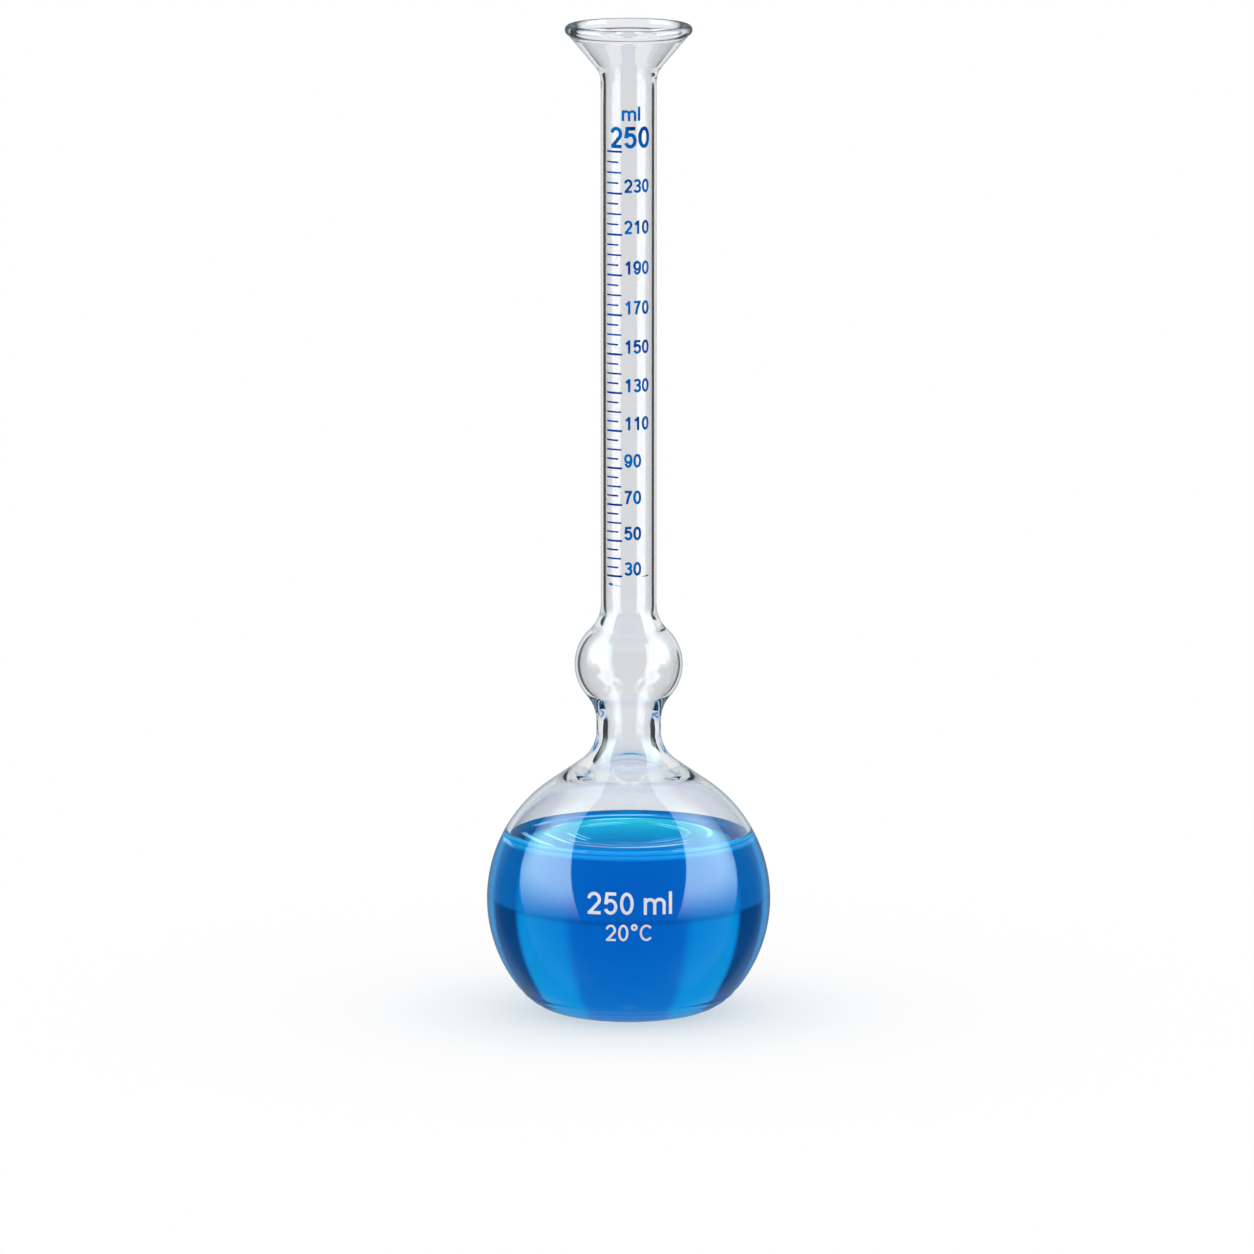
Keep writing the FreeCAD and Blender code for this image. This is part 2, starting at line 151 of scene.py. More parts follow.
# %% [markdown]
# ## The wall of the flask, as a section
#
# Blown glass is round about its axis, so half of a cut through its wall says everything about
# its shape. A spline through a few points would be quick, but it bulges between them. The real
# outline is made of arcs that run smoothly into each other, as a glassblower's template is, so
# the section is written here as arcs and straight runs, in millimetres, with the glass always on
# the left: out along the foot, up the outside, over the rim, and down the inside to the floor.
#
# Two arcs run smoothly into each other where both centres and the meeting point lie on one line.
# So only sizes are given below, and the centres and angles of the arcs follow from them.


# %% Arcs and runs
def arc(centre, radius, first, last, step=2.6):
    """Points on a circle: centre + radius * (cos a, sin a), with a from first to last degrees.

    Two radii, one across and one up, make it part of an ellipse.
    """
    count = max(4, math.ceil(abs(last - first) / step))
    angles = np.radians(np.linspace(first, last, count + 1))
    ring = np.column_stack((np.cos(angles), np.sin(angles)))
    return np.array(centre) + np.array(radius) * ring


def run(start, end, count=2):
    """Points on the straight line from start to end, both ends included."""
    share = np.linspace(0, 1, count + 1)[:, None]
    return (1 - share) * np.array(start) + share * np.array(end)


SAME_PLACE = 0.002


def chain(*pieces):
    """Joins point lists into one profile and drops a point that repeats the one before it."""
    points = np.vstack(pieces)
    gap = np.linalg.norm(np.diff(points, axis=0), axis=1)
    return points[np.concatenate(([True], gap > SAME_PLACE))]


def heading(start, end):
    """Direction from start to end, in degrees counted from outwards round to upwards."""
    return math.degrees(math.atan2(end[1] - start[1], end[0] - start[0]))


def touching(x, about, reach, side):
    """The centre at radius x and at the distance reach from another centre.

    Its height is z_about + side * sqrt(reach^2 - (x - x_about)^2), with side 1 above and -1
    below. Opposite bends meet smoothly when reach is the sum of their radii.
    """
    return np.array([x, about[1] + side * math.sqrt(reach ** 2 - (x - about[0]) ** 2)])


# %% Outside of the round bulb, in millimetres and degrees
BULB_CENTRE = (0.0, 34.0)
BULB_RADIUS = 42.5
HEEL_RADIUS = 18.4
FOOT_RING_WIDTH = 2.2
DISH_RISE = 1.0
SHOULDER_SLOPE = 35.0
SHOULDER_RADIUS = 11.3
LOWER_NECK_RADIUS = 9.65

# The heel touches the bulb and the table, and the dish is a low dome inside the foot's ring.
heel_drop = BULB_CENTRE[1] - HEEL_RADIUS
HEEL_CENTRE = (math.sqrt((BULB_RADIUS - HEEL_RADIUS) ** 2 - heel_drop ** 2), HEEL_RADIUS)
DISH_EDGE = (HEEL_CENTRE[0] - FOOT_RING_WIDTH, 0.0)
DOME_RADIUS = (DISH_EDGE[0] ** 2 + DISH_RISE ** 2) / (2 * DISH_RISE)
DOME_CENTRE = (0.0, DISH_RISE - DOME_RADIUS)

# The shoulder's centre lies one shoulder radius outside both the lower neck and the slope.
side_end = 90.0 - SHOULDER_SLOPE
slope = math.radians(side_end)
shoulder_x = LOWER_NECK_RADIUS + SHOULDER_RADIUS
shoulder_rise = (BULB_RADIUS + SHOULDER_RADIUS - math.cos(slope) * shoulder_x) / math.sin(slope)
SHOULDER_CENTRE = (shoulder_x, BULB_CENTRE[1] + shoulder_rise)

heel_end = heading(BULB_CENTRE, HEEL_CENTRE)
dish = arc(DOME_CENTRE, DOME_RADIUS, 90.0, heading(DOME_CENTRE, DISH_EDGE), step=0.18)
heel = arc(HEEL_CENTRE, HEEL_RADIUS, 270.0, 360.0 + heel_end, step=1.5)
side = arc(BULB_CENTRE, BULB_RADIUS, heel_end, side_end, step=2.2)
shoulder = arc(SHOULDER_CENTRE, SHOULDER_RADIUS, 180.0 + side_end, 180.0)
foot_and_bulb = chain(dish, heel, side, run(side[-1], shoulder[0], 4))
print("shoulder turns into the lower neck at", round(SHOULDER_CENTRE[1], 2), "mm")

# %% Outside of the necks and the small bulb
LOWER_NECK_LENGTH = 2.9
SMALL_BULB_REACH = 16.15
SMALL_BULB_RADIUS = 14.15
UNDER_RADIUS = 12.0
OVER_RADIUS = 11.0
NECK_RADIUS = 8.3
NECK_LENGTH = 156.8

UNDER_CENTRE = (LOWER_NECK_RADIUS + UNDER_RADIUS, SHOULDER_CENTRE[1] + LOWER_NECK_LENGTH)
SMALL_BULB_CENTRE = touching(SMALL_BULB_REACH - SMALL_BULB_RADIUS, UNDER_CENTRE,
                             SMALL_BULB_RADIUS + UNDER_RADIUS, 1)
OVER_CENTRE = touching(NECK_RADIUS + OVER_RADIUS, SMALL_BULB_CENTRE,
                       SMALL_BULB_RADIUS + OVER_RADIUS, 1)
NECK_FOOT = float(OVER_CENTRE[1])
NECK_TOP = NECK_FOOT + NECK_LENGTH

small_start = heading(SMALL_BULB_CENTRE, UNDER_CENTRE)
small_end = heading(SMALL_BULB_CENTRE, OVER_CENTRE)
under_bend = arc(UNDER_CENTRE, UNDER_RADIUS, 180.0, 180.0 + small_start)
small_side = arc(SMALL_BULB_CENTRE, SMALL_BULB_RADIUS, small_start, small_end)
over_bend = arc(OVER_CENTRE, OVER_RADIUS, 180.0 + small_end, 180.0)
necks_and_small_bulb = chain(
    shoulder, run(shoulder[-1], under_bend[0], 3), under_bend, small_side, over_bend,
    run(over_bend[-1], (NECK_RADIUS, NECK_TOP), 14),
)
print("the long neck runs from", round(NECK_FOOT, 2), "to", round(NECK_TOP, 2), "mm")

# %% The funnel and the bead of its rim
FUNNEL_HALF_ANGLE = 40.0
FUNNEL_BEND = 7.0
FUNNEL_WALL = 1.5
THROAT_RADIUS = 4.0
BORE_RADIUS = 6.9
RIM_RADIUS = 18.95
BEAD_RADIUS = 1.55
BEAD_OVERHANG = 0.2

lean = math.radians(FUNNEL_HALF_ANGLE)
up_the_funnel = np.array([math.sin(lean), math.cos(lean)])
out_of_the_funnel = np.array([math.cos(lean), -math.sin(lean)])


def beside_funnel(point, gap, x):
    """The place at radius x on the line up the funnel that lies a gap outside a point."""
    start = point + gap * out_of_the_funnel
    return start + up_the_funnel * (x - start[0]) / up_the_funnel[0]


def bead_angle(gap):
    """Where the line a gap outside the bead's centre leaves the bead: -lean - acos(gap / R)."""
    return -FUNNEL_HALF_ANGLE - math.degrees(math.acos(gap / BEAD_RADIUS))


bead_inset = BEAD_RADIUS - BEAD_OVERHANG
flare = arc((NECK_RADIUS + FUNNEL_BEND, NECK_TOP), FUNNEL_BEND,
            180.0, 180.0 - FUNNEL_HALF_ANGLE, step=3.0)
bead_centre = beside_funnel(flare[-1], -bead_inset, RIM_RADIUS - BEAD_RADIUS)
rim = arc(bead_centre, BEAD_RADIUS,
          bead_angle(bead_inset), 360.0 + bead_angle(bead_inset - FUNNEL_WALL), step=8.0)
throat_centre = beside_funnel(rim[-1], THROAT_RADIUS, BORE_RADIUS + THROAT_RADIUS)
throat = arc(throat_centre, THROAT_RADIUS, 180.0 - FUNNEL_HALF_ANGLE, 180.0, step=4.0)
funnel_and_rim = chain(flare, run(flare[-1], rim[0], 8), rim, run(rim[-1], throat[0], 8), throat)
print("the rim's bead is centred at", np.round(bead_centre, 2), "mm")

# %% [markdown]
# ### The inside of the wall
#
# Inside, most bends are tighter than an even wall would make them, because blown glass thickens
# in its hollows. The bend under the small bulb is drawn softer here than in the CAD model: a
# tight one there acts as a ring-shaped lens and draws a black band that the photograph lacks.

# %% The inside of the wall
BALL_RADIUS = 41.0
FOOT_WALL = 2.4
INNER_HEEL_RADIUS = 16.5
INNER_SHOULDER_RADIUS = 12.0
LOWER_BORE_RADIUS = 6.5
INNER_SMALL_RADIUS = 12.85
UPPER_BEND = 6.0
LOWER_BEND = 14.5

# The inner heel touches the ball from within and the domed floor from above.
FLOOR_RADIUS = DOME_RADIUS + FOOT_WALL
ball_reach = BALL_RADIUS - INNER_HEEL_RADIUS
floor_reach = FLOOR_RADIUS + INNER_HEEL_RADIUS
span = BULB_CENTRE[1] - DOME_CENTRE[1]
above_dome = (floor_reach ** 2 - ball_reach ** 2 + span ** 2) / (2 * span)
INNER_HEEL_CENTRE = (math.sqrt(floor_reach ** 2 - above_dome ** 2), DOME_CENTRE[1] + above_dome)
INNER_HEEL_START = heading(BULB_CENTRE, INNER_HEEL_CENTRE)
FLOOR_EDGE = heading(DOME_CENTRE, INNER_HEEL_CENTRE)

upper_centre = touching(BORE_RADIUS + UPPER_BEND, SMALL_BULB_CENTRE,
                        INNER_SMALL_RADIUS + UPPER_BEND, 1)
lower_centre = touching(LOWER_BORE_RADIUS + LOWER_BEND, SMALL_BULB_CENTRE,
                        INNER_SMALL_RADIUS + LOWER_BEND, -1)
inner_shoulder_centre = touching(LOWER_BORE_RADIUS + INNER_SHOULDER_RADIUS, BULB_CENTRE,
                                 BALL_RADIUS + INNER_SHOULDER_RADIUS, 1)
upper = heading(SMALL_BULB_CENTRE, upper_centre)
lower = heading(SMALL_BULB_CENTRE, lower_centre)
inner_side_start = heading(BULB_CENTRE, inner_shoulder_centre)

upper_bend = arc(upper_centre, UPPER_BEND, 180.0, 180.0 + upper, step=4.0)
inner_small = arc(SMALL_BULB_CENTRE, INNER_SMALL_RADIUS, upper, lower)
lower_bend = arc(lower_centre, LOWER_BEND, 180.0 + lower, 180.0, step=2.5)
inner_shoulder = arc(inner_shoulder_centre, INNER_SHOULDER_RADIUS,
                     180.0, 180.0 + inner_side_start, step=2.5)
inner_side = arc(BULB_CENTRE, BALL_RADIUS, inner_side_start, INNER_HEEL_START, step=2.2)
inner_heel = arc(INNER_HEEL_CENTRE, INNER_HEEL_RADIUS, 360.0 + INNER_HEEL_START, 180.0 + FLOOR_EDGE)
floor_dome = arc(DOME_CENTRE, FLOOR_RADIUS, FLOOR_EDGE, 90.0, step=0.5)
inside = chain(
    run(throat[-1], upper_bend[0], 14), upper_bend, inner_small, lower_bend,
    run(lower_bend[-1], inner_shoulder[0], 2), inner_shoulder, inner_side, inner_heel, floor_dome,
)
wall_section = chain(foot_and_bulb, necks_and_small_bulb, funnel_and_rim, inside)

# %% Rings in the foot
# Turning the hot foot left shallow rings in it, as waves of depth * (1 - cos) / 2: by radius in
# the dish, where they die away outwards, and by angle round the heel.
DISH_RING_PITCH = 4.2
DISH_RING_DEPTH = 0.16
DISH_RING_REACH = 16.5
DISH_HEIGHT = 1.2
HEEL_RING_ANGLE = 9.0
HEEL_RING_DEPTH = 0.14
HEEL_START = 18.5
HEEL_HEIGHT = 8.0

in_dish = (wall_section[:, 0] < DISH_RING_REACH) & (wall_section[:, 1] < DISH_HEIGHT)
radius = wall_section[in_dish, 0]
wave = (1 - np.cos(2 * np.pi * radius / DISH_RING_PITCH)) / 2
wall_section[in_dish, 1] += DISH_RING_DEPTH * wave * (1 - (radius / DISH_RING_REACH) ** 2)
on_heel = (wall_section[:, 0] > HEEL_START) & (wall_section[:, 1] < HEEL_HEIGHT)
on_heel &= np.arange(len(wall_section)) < len(foot_and_bulb)
outwards = wall_section[on_heel] - HEEL_CENTRE
fall = np.degrees(np.arctan2(outwards[:, 0], -outwards[:, 1]))
wave = (1 - np.cos(2 * np.pi * fall / HEEL_RING_ANGLE)) / 2
wall_section[on_heel] -= HEEL_RING_DEPTH * (wave / HEEL_RADIUS)[:, None] * outwards
print("rings:", in_dish.sum(), "points in the dish and", on_heel.sum(), "on the heel")

# %% [markdown]
# ## Turning the section
#
# Blender's Screw modifier could turn the section, and so could a spin, but both leave seams to
# merge. Here every point of the surface comes from one formula on a grid of angles and section
# points, and the last column of faces joins the first, so there is no seam at all. The two ends
# of the section lie on the axis, where each closes in a single vertex.


# %% The turned surface
def new_piece(name, points, faces, smooth):
    """A mesh object made of points, in metres, and faces, which are lists of point numbers."""
    mesh = bpy.data.meshes.new(name)
    mesh.from_pydata(points.tolist(), [], faces)
    mesh.polygons.foreach_set("use_smooth", np.full(len(faces), smooth))
    mesh.update()
    piece = bpy.data.objects.new(name, mesh)
    bpy.context.scene.collection.objects.link(piece)
    print(name, "has", len(points), "points and", len(faces), "faces")
    return piece


def turned_surface(name, section, columns, drift=None, wetted=None, smooth=True):
    """A closed surface of revolution.

    Point (i, j) = (r_j cos a_i + d_j, r_j sin a_i, z_j), with a_i = 360 degrees * i / columns.
    The first and last points of the section lie on the axis and become the two poles. d_j is
    the drift: how far the centre of the ring at point j lies to the right of the axis. wetted
    is 1 where glass and liquid touch, and is kept as an attribute for the materials.
    """
    rings = section[1:-1] * MM
    shift = np.zeros(len(rings)) if drift is None else drift[1:-1] * MM
    angles = 2 * np.pi * np.arange(columns) / columns
    x = rings[:, :1] * np.cos(angles) + shift[:, None]
    y = rings[:, :1] * np.sin(angles)
    z = np.repeat(rings[:, 1:], columns, axis=1)
    grid = np.stack((x, y, z), axis=-1).reshape(-1, 3)
    poles = np.array([[0, 0, section[0, 1]], [0, 0, section[-1, 1]]]) * MM
    points = np.vstack((grid, poles))

    here = np.arange(columns)
    there = (here + 1) % columns
    row = np.arange(len(rings) - 1)[:, None] * columns
    walls = np.stack((row + here, row + there, row + columns + there, row + columns + here), -1)
    first_pole, last_pole = len(grid), len(grid) + 1
    top = (len(rings) - 1) * columns
    start_fan = np.stack((there, here, np.full(columns, first_pole)), -1)
    end_fan = np.stack((top + here, top + there, np.full(columns, last_pole)), -1)

    faces = walls.reshape(-1, 4).tolist() + start_fan.tolist() + end_fan.tolist()
    piece = new_piece(name, points, faces, smooth)
    if wetted is not None:
        values = np.append(np.repeat(wetted[1:-1], columns), [wetted[0], wetted[-1]])
        attribute = piece.data.attributes.new("wetted", "FLOAT", "POINT")
        attribute.data.foreach_set("value", values)
    return piece


# %% [markdown]
# ### The blown glass
#
# The bore of drawn tubing is never quite central. Letting the inner rings lie a few hundredths
# of a millimetre off the axis makes one side of the neck a little thicker than the other, which
# is what makes the dark line on its left broader than the one on its right. The bulbs were blown
# in a mould with a little more drift, and the drift changes smoothly between the two.
#
# Each point also carries the number "wetted", 1 where the liquid touches the glass, which the
# materials read later.

# %% Make the flask
COLUMNS = 192
BORE_DRIFT = 0.05
BULB_DRIFT = 0.13
SMALL_BULB_TOP = 117.5
NECK_START = 121.5
CONTACT_HEIGHT = 54.6

outer_count = len(wall_section) - len(inside)
bore_drift = np.zeros(len(wall_section))
bore_drift[outer_count:] = np.interp(wall_section[outer_count:, 1],
                                     [SMALL_BULB_TOP, NECK_START], [BULB_DRIFT, BORE_DRIFT])
under_liquid = np.zeros(len(wall_section))
under_liquid[outer_count:] = wall_section[outer_count:, 1] < CONTACT_HEIGHT
flask = turned_surface("blown_flask", wall_section, COLUMNS, bore_drift, under_liquid)
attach(flask, BODY)
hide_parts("flask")

# %% [markdown]
# ## The liquid
#
# The liquid wets the glass and climbs it by a little in a thin curved edge, the meniscus, which
# shows in the photograph as a bright line over a dark one. If the liquid's side stopped short of
# the glass, light would meet a film of air there and the bulb would look silvered. So the liquid
# is drawn a little way into the wall: light then goes from glass to liquid and bends in total as
# it does in the real flask.

# %% Make the liquid
LIQUID_LEVEL = 53.8
MENISCUS_SPREAD = 0.8
WETTED_DEPTH = 0.25
SURFACE_STEPS = 60

meniscus_rise = CONTACT_HEIGHT - LIQUID_LEVEL
ball = BALL_RADIUS + WETTED_DEPTH
brim_angle = math.asin((CONTACT_HEIGHT - BULB_CENTRE[1]) / ball)
brim = ball * math.cos(brim_angle)


def liquid_surface(count):
    """Level at the axis and curved up at the glass: level + rise * exp(-(brim - r) / spread)."""
    share = np.linspace(0, 1, count + 1)
    radius = brim * (1 - share ** 3)
    height = LIQUID_LEVEL + meniscus_rise * np.exp(-(brim - radius) / MENISCUS_SPREAD)
    return np.column_stack((radius, height))


liquid_section = chain(
    arc(DOME_CENTRE, FLOOR_RADIUS - WETTED_DEPTH, 90.0, FLOOR_EDGE, step=0.5),
    arc(INNER_HEEL_CENTRE, INNER_HEEL_RADIUS + WETTED_DEPTH,
        180.0 + FLOOR_EDGE, 360.0 + INNER_HEEL_START),
    arc(BULB_CENTRE, ball, INNER_HEEL_START, math.degrees(brim_angle), step=1.5),
    liquid_surface(SURFACE_STEPS),
)
against_glass = np.ones(len(liquid_section))
against_glass[-SURFACE_STEPS - 1:] = 0
liquid = turned_surface("liquid_fill", liquid_section, COLUMNS, wetted=against_glass)
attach(liquid, BODY)
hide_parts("liquid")

# %% [markdown]
# ## Fired-on numbers
#
# The scale's strokes come from the CAD model and keep their shape. The numbers beside them, the
# unit above them and the white mark on the bulb are enamel too, fired on as a thin raised layer.
# An image texture could carry them, but letters that are real geometry stay sharp at any
# distance. Blender can type them, but its own font has thin humanist figures. A scale is lettered
# with plain figures of one stroke width, so each figure is written here as the path that a pen
# would follow, and a low bead of enamel is carried along it. A figure is 1 high in these paths.

# %% The paths of the characters
PEN = 0.15
FIGURE = 0.62
STEP = 0.73
LOWER_CASE = 0.745
HUMP_WIDTH = 0.42
HUMP_HEIGHT = 0.2
low, high = PEN / 2, 1 - PEN / 2
near, far = PEN / 2, FIGURE - PEN / 2
waist = 0.53


def oval(first, last, bottom=low, top=high, left=near, right=far):
    """Part of the ellipse that touches four lines, from first to last degrees."""
    centre = ((left + right) / 2, (bottom + top) / 2)
    return arc(centre, ((right - left) / 2, (top - bottom) / 2), first, last, 6.0)


def bend(start, pull, end, count=12):
    """A quadratic curve: (1-t)^2 start + 2t(1-t) pull + t^2 end."""
    t = np.linspace(0, 1, count + 1)[:, None]
    return (1 - t) ** 2 * np.array(start) + 2 * t * (1 - t) * np.array(pull) + t ** 2 * np.array(end)


def hump(left):
    """One arch of the letter m, with its right leg."""
    centre = (left + HUMP_WIDTH / 2, LOWER_CASE - low - HUMP_HEIGHT)
    arch = arc(centre, (HUMP_WIDTH / 2, HUMP_HEIGHT), 180, 0, 8.0)
    return chain(arch, [(left + HUMP_WIDTH, 0.0)])


# Each character: how far the next one starts, its own width, and its pen paths.
CHARACTERS = {
    "0": (STEP, FIGURE, [oval(0, 360)]),
    "1": (STEP, FIGURE, [run((0.385, 1.0), (0.385, 0.0)),
                         bend((0.115, 0.715), (0.30, 0.79), (0.385, 0.97))]),
    "2": (STEP, FIGURE, [chain(oval(172, -36, 0.42), [(0.10, low)]), run((0.025, low), (0.6, low))]),
    "3": (STEP, FIGURE, [chain(oval(158, -90, waist, high, near + 0.02, far - 0.02), [(0.24, waist)]),
                         chain([(0.24, waist)], oval(90, -158, low, waist))]),
    "5": (STEP, FIGURE, [np.array([(0.565, high), (0.16, high), (0.095, 0.47)]),
                         oval(146, -158, low, 0.635)]),
    "7": (STEP, FIGURE, [run((0.03, high), (0.6, high)), bend((0.545, high), (0.29, 0.6), (0.215, 0.0))]),
    "9": (STEP, FIGURE, [oval(0, 360, 0.375), oval(22, -152)]),
    "m": (1.12, 2 * HUMP_WIDTH + PEN, [run((low, LOWER_CASE), (low, 0.0)),
                                       hump(low), hump(low + HUMP_WIDTH)]),
    "l": (0.25, PEN, [run((low, 1.0), (low, 0.0))]),
    "°": (0.54, 0.39, [arc((0.225, 0.83), 0.135, 0, 360, 10.0)]),
    "C": (0.80, 0.78, [arc((0.40, 0.5), (0.328, 0.5 - low), 40, 320, 6.0)]),
    " ": (0.33, 0.0, []),
}
print("characters:", " ".join(CHARACTERS))

# %% [markdown]
# ### A bead of enamel along a path
#
# Screen-printed enamel has a flat top and rounded shoulders. Its cross-section is a profile of
# six points, and the surface is that profile carried along the pen's path. The bead is worked
# out flat, and a second function then lays it on the glass, so one bead serves the round neck
# and the bulb.

# %% Carry the bead along
BEAD_ACROSS = np.array([-1.0, -1.0, -0.86, 0.86, 1.0, 1.0])
BEAD_UP = np.array([-0.02, 0.03, 0.05, 0.05, 0.03, -0.02])
LAYER_STEP = 0.08
LEAST_COSINE = 0.6


def bead(path, pen, thickness=1.0):
    """Corner points of the bead and its faces.

    Point (i, j) = path_i + across_j * pen / 2 * side_i, at height up_j * thickness above the
    glass. side_i is square to the path, and longer at a corner, by 1 / cos(half the turn), with
    the cosine taken as LEAST_COSINE or more.
    """
    closed = np.allclose(path[0], path[-1])
    path = path[:-1] if closed else path
    leg = np.diff(path, axis=0, append=path[:1])
    leg /= np.linalg.norm(leg, axis=1)[:, None]
    if not closed:
        leg[-1] = leg[-2]
    before = np.roll(leg, 1, axis=0)
    if not closed:
        before[0] = leg[0]
    mean = (before + leg) / 2
    size = np.linalg.norm(mean, axis=1)[:, None]
    side = np.column_stack((-mean[:, 1], mean[:, 0])) / size / np.maximum(size, LEAST_COSINE)

    spread = path[:, None, :] + BEAD_ACROSS[None, :, None] * side[:, None, :] * pen / 2
    rise = np.broadcast_to(BEAD_UP * thickness, spread.shape[:2])
    points = np.stack((spread[..., 0], rise, spread[..., 1]), -1).reshape(-1, 3)

    corners = len(BEAD_UP)
    steps = len(path) if closed else len(path) - 1
    i = np.arange(steps)[:, None]
    j = np.arange(corners)[None, :]
    here, ahead = i * corners, (i + 1) % len(path) * corners
    right = (j + 1) % corners
    faces = np.stack((here + j, ahead + j, ahead + right, here + right), -1).reshape(-1, 4).tolist()
    if not closed:
        last = (len(path) - 1) * corners
        faces += [list(range(corners)), list(range(last + corners - 1, last - 1, -1))]
    return points, faces


def written(text, left, baseline, cap_height, width, weight=1.0):
    """Beads for a line of text: its paths, scaled to the cap height and to the width.

    Where two beads of a character cross, the later one is thinner, so their tops lie apart.
    """
    pen = PEN * cap_height * weight
    starts = np.cumsum([0.0] + [CHARACTERS[c][0] for c in text[:-1]])
    reach = starts[-1] + CHARACTERS[text[-1]][1]
    stretch = (width - pen) / (reach - PEN)
    beads = []
    for start, character in zip(starts, text):
        for number, path in enumerate(CHARACTERS[character][2]):
            across = left + pen / 2 + (path[:, 0] + start - PEN / 2) * stretch
            up = baseline + path[:, 1] * cap_height
            beads.append(bead(np.column_stack((across, up)), pen, 1 - LAYER_STEP * number))
    return beads


def lettering(name, beads, lay):
    """One piece of enamel from many beads, each laid on the glass by lay."""
    points, faces, count = [], [], 0
    for bead_points, bead_faces in beads:
        faces += [[corner + count for corner in face] for face in bead_faces]
        points.append(bead_points)
        count += len(bead_points)
    piece = new_piece(name, lay(np.vstack(points)) * MM, faces, smooth=False)
    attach(piece, BODY)
    return piece


def round_the_neck(points):
    """Rolls flat print round the neck: angle = x / R; ((R + h) sin, -(R + h) cos, z)."""
    angle = points[:, 0] / NECK_RADIUS
    reach = NECK_RADIUS + points[:, 1]
    return np.column_stack((reach * np.sin(angle), -reach * np.cos(angle), points[:, 2]))


def onto_the_bulb(points):
    """Presses flat print onto the bulb's front: (x, -sqrt(R^2 - x^2 - u^2), u), grown by h / R."""
    across, up = points[:, 0], points[:, 2] - BULB_CENTRE[1]
    depth = np.sqrt(BULB_RADIUS ** 2 - across ** 2 - up ** 2)
    grown = 1 + points[:, 1:2] / BULB_RADIUS
    return np.column_stack((across, -depth, up)) * grown + np.array([0, 0, BULB_CENTRE[1]])


# %% [markdown]
# ### The numbers beside the long strokes
#
# The strokes stand closer together towards the foot of the neck. The height of stroke k above
# the foot is 9.5 + 2.645 k + 0.5 k^2 / 88 millimetres, and every fourth one is long. Counting
# from the bottom, the long ones read 30, 50, 70 and so on up to 250.

# %% Write the scale
LOWEST_RISE = 9.5
LOWEST_PITCH = 2.645
PITCH_GROWTH = 0.5 / 88
LONG_EVERY = 4
NUMBER_LIFT = 0.3
NUMBER_CAP = 4.0
NUMBER_LEFT = -1.37
NUMBER_WEIGHT = 1.25
THREE_FIGURES = 7.94
TWO_FIGURES = 5.25
# The top is lettered larger. Each line has its text, left end, baseline, cap height, width and
# weight.
SCALE_TOP = [("250", -5.8, 261.4, 6.3, 12.6, 1.18), ("ml", -2.07, 269.5, 4.3, 5.6, 1.2)]


def stroke_height(k):
    """Height of the middle of stroke k: foot of the neck + rise + pitch * k + growth * k^2."""
    return NECK_FOOT + LOWEST_RISE + LOWEST_PITCH * k + PITCH_GROWTH * k ** 2


numbers = list(range(30, 250, 20))
beads = []
for k, number in enumerate(numbers):
    width = THREE_FIGURES if number > 99 else TWO_FIGURES
    baseline = stroke_height(LONG_EVERY * k) + NUMBER_LIFT
    beads += written(str(number), NUMBER_LEFT, baseline, NUMBER_CAP, width, NUMBER_WEIGHT)
for line in SCALE_TOP:
    beads += written(*line)
scale_numbers = lettering("scale_numbers", beads, round_the_neck)
print("numbers up the neck:", numbers, "and 250")

# %% Write the mark on the bulb
BULB_MARK = [("250 ml", -12.25, 36.9, 6.6, 25.1, 0.93), ("20°C", -6.8, 28.9, 5.1, 13.95, 0.88)]

beads = []
for line in BULB_MARK:
    beads += written(*line)
capacity_mark = lettering("capacity_mark", beads, onto_the_bulb)

# %% [markdown]
# ### Strokes that missed
#
# Below the lowest stroke the screen left a blot and a ghost of one more stroke, and right of the
# number 30 a stroke fades out. They are beads too, thinner than the rest, and their material
# fades them with Alpha.

# %% Lay the faded strokes
# Each has its left end, its right end and the width of its pen.
BLOT = ((-6.5, 130.42), (-5.05, 130.28), 0.72)
GHOST = ((-5.3, 130.16), (-2.3, 130.02), 0.42)
FADING_END = ((3.7, 132.72), (6.5, 132.98), 0.44)
FADED_THICKNESS = 0.6

beads = []
for number, (start, end, pen) in enumerate((BLOT, GHOST, FADING_END)):
    beads.append(bead(run(start, end, 12), pen, FADED_THICKNESS - LAYER_STEP * number))
faded_strokes = lettering("faded_strokes", beads, round_the_neck)

# %% [markdown]
# ## The glass finish
#
# Clear glass has almost no colour of its own. What it has is a slight grey where light passes
# through a lot of it, faint draw lines along the neck and soft unevenness in the blown bulbs,
# and a ground, slightly frosted ring where the foot has stood on benches. The first comes from
# the base colour, which tints light each time it enters or leaves. Where the surface turns away
# from the eye the base colour is painted a darker grey blue, a painted shade for the dark edges
# of glass. The second is a very low bump, stretched along the axis. The third is a little
# roughness on the lowest fifth of a millimetre. On the rim's thick bead the turned-away sides
# are painted nearly black, a painted shade. Shadow rays pass through, tinted.
#
# Where liquid touches glass, almost no light is mirrored, because the two bend light alike. The
# surfaces there are drawn a little apart, so each alone would mirror far too much. The answer is
# a second shader, the same but with a black Specular Tint, mixed in where "wetted" is 1.

# %% Three helpers for clear materials
def new_material(name, slot_of):
    """A named material on a piece, as its only one, with an empty graph."""
    material = bpy.data.materials.new(name)
    slot_of.data.materials.clear()
    slot_of.data.materials.append(material)
    return Graph(material)


def let_shadow_rays_through(graph, surface, tint):
    """Shadow rays pass the surface with a tint, so that its shadow is light and coloured."""
    is_shadow = graph.node("ShaderNodeLightPath", output="Is Shadow Ray")
    clear = graph.node("ShaderNodeBsdfTransparent", inputs={"Color": tint})
    return graph.node("ShaderNodeMixShader", inputs={0: is_shadow, 1: surface, 2: clear})


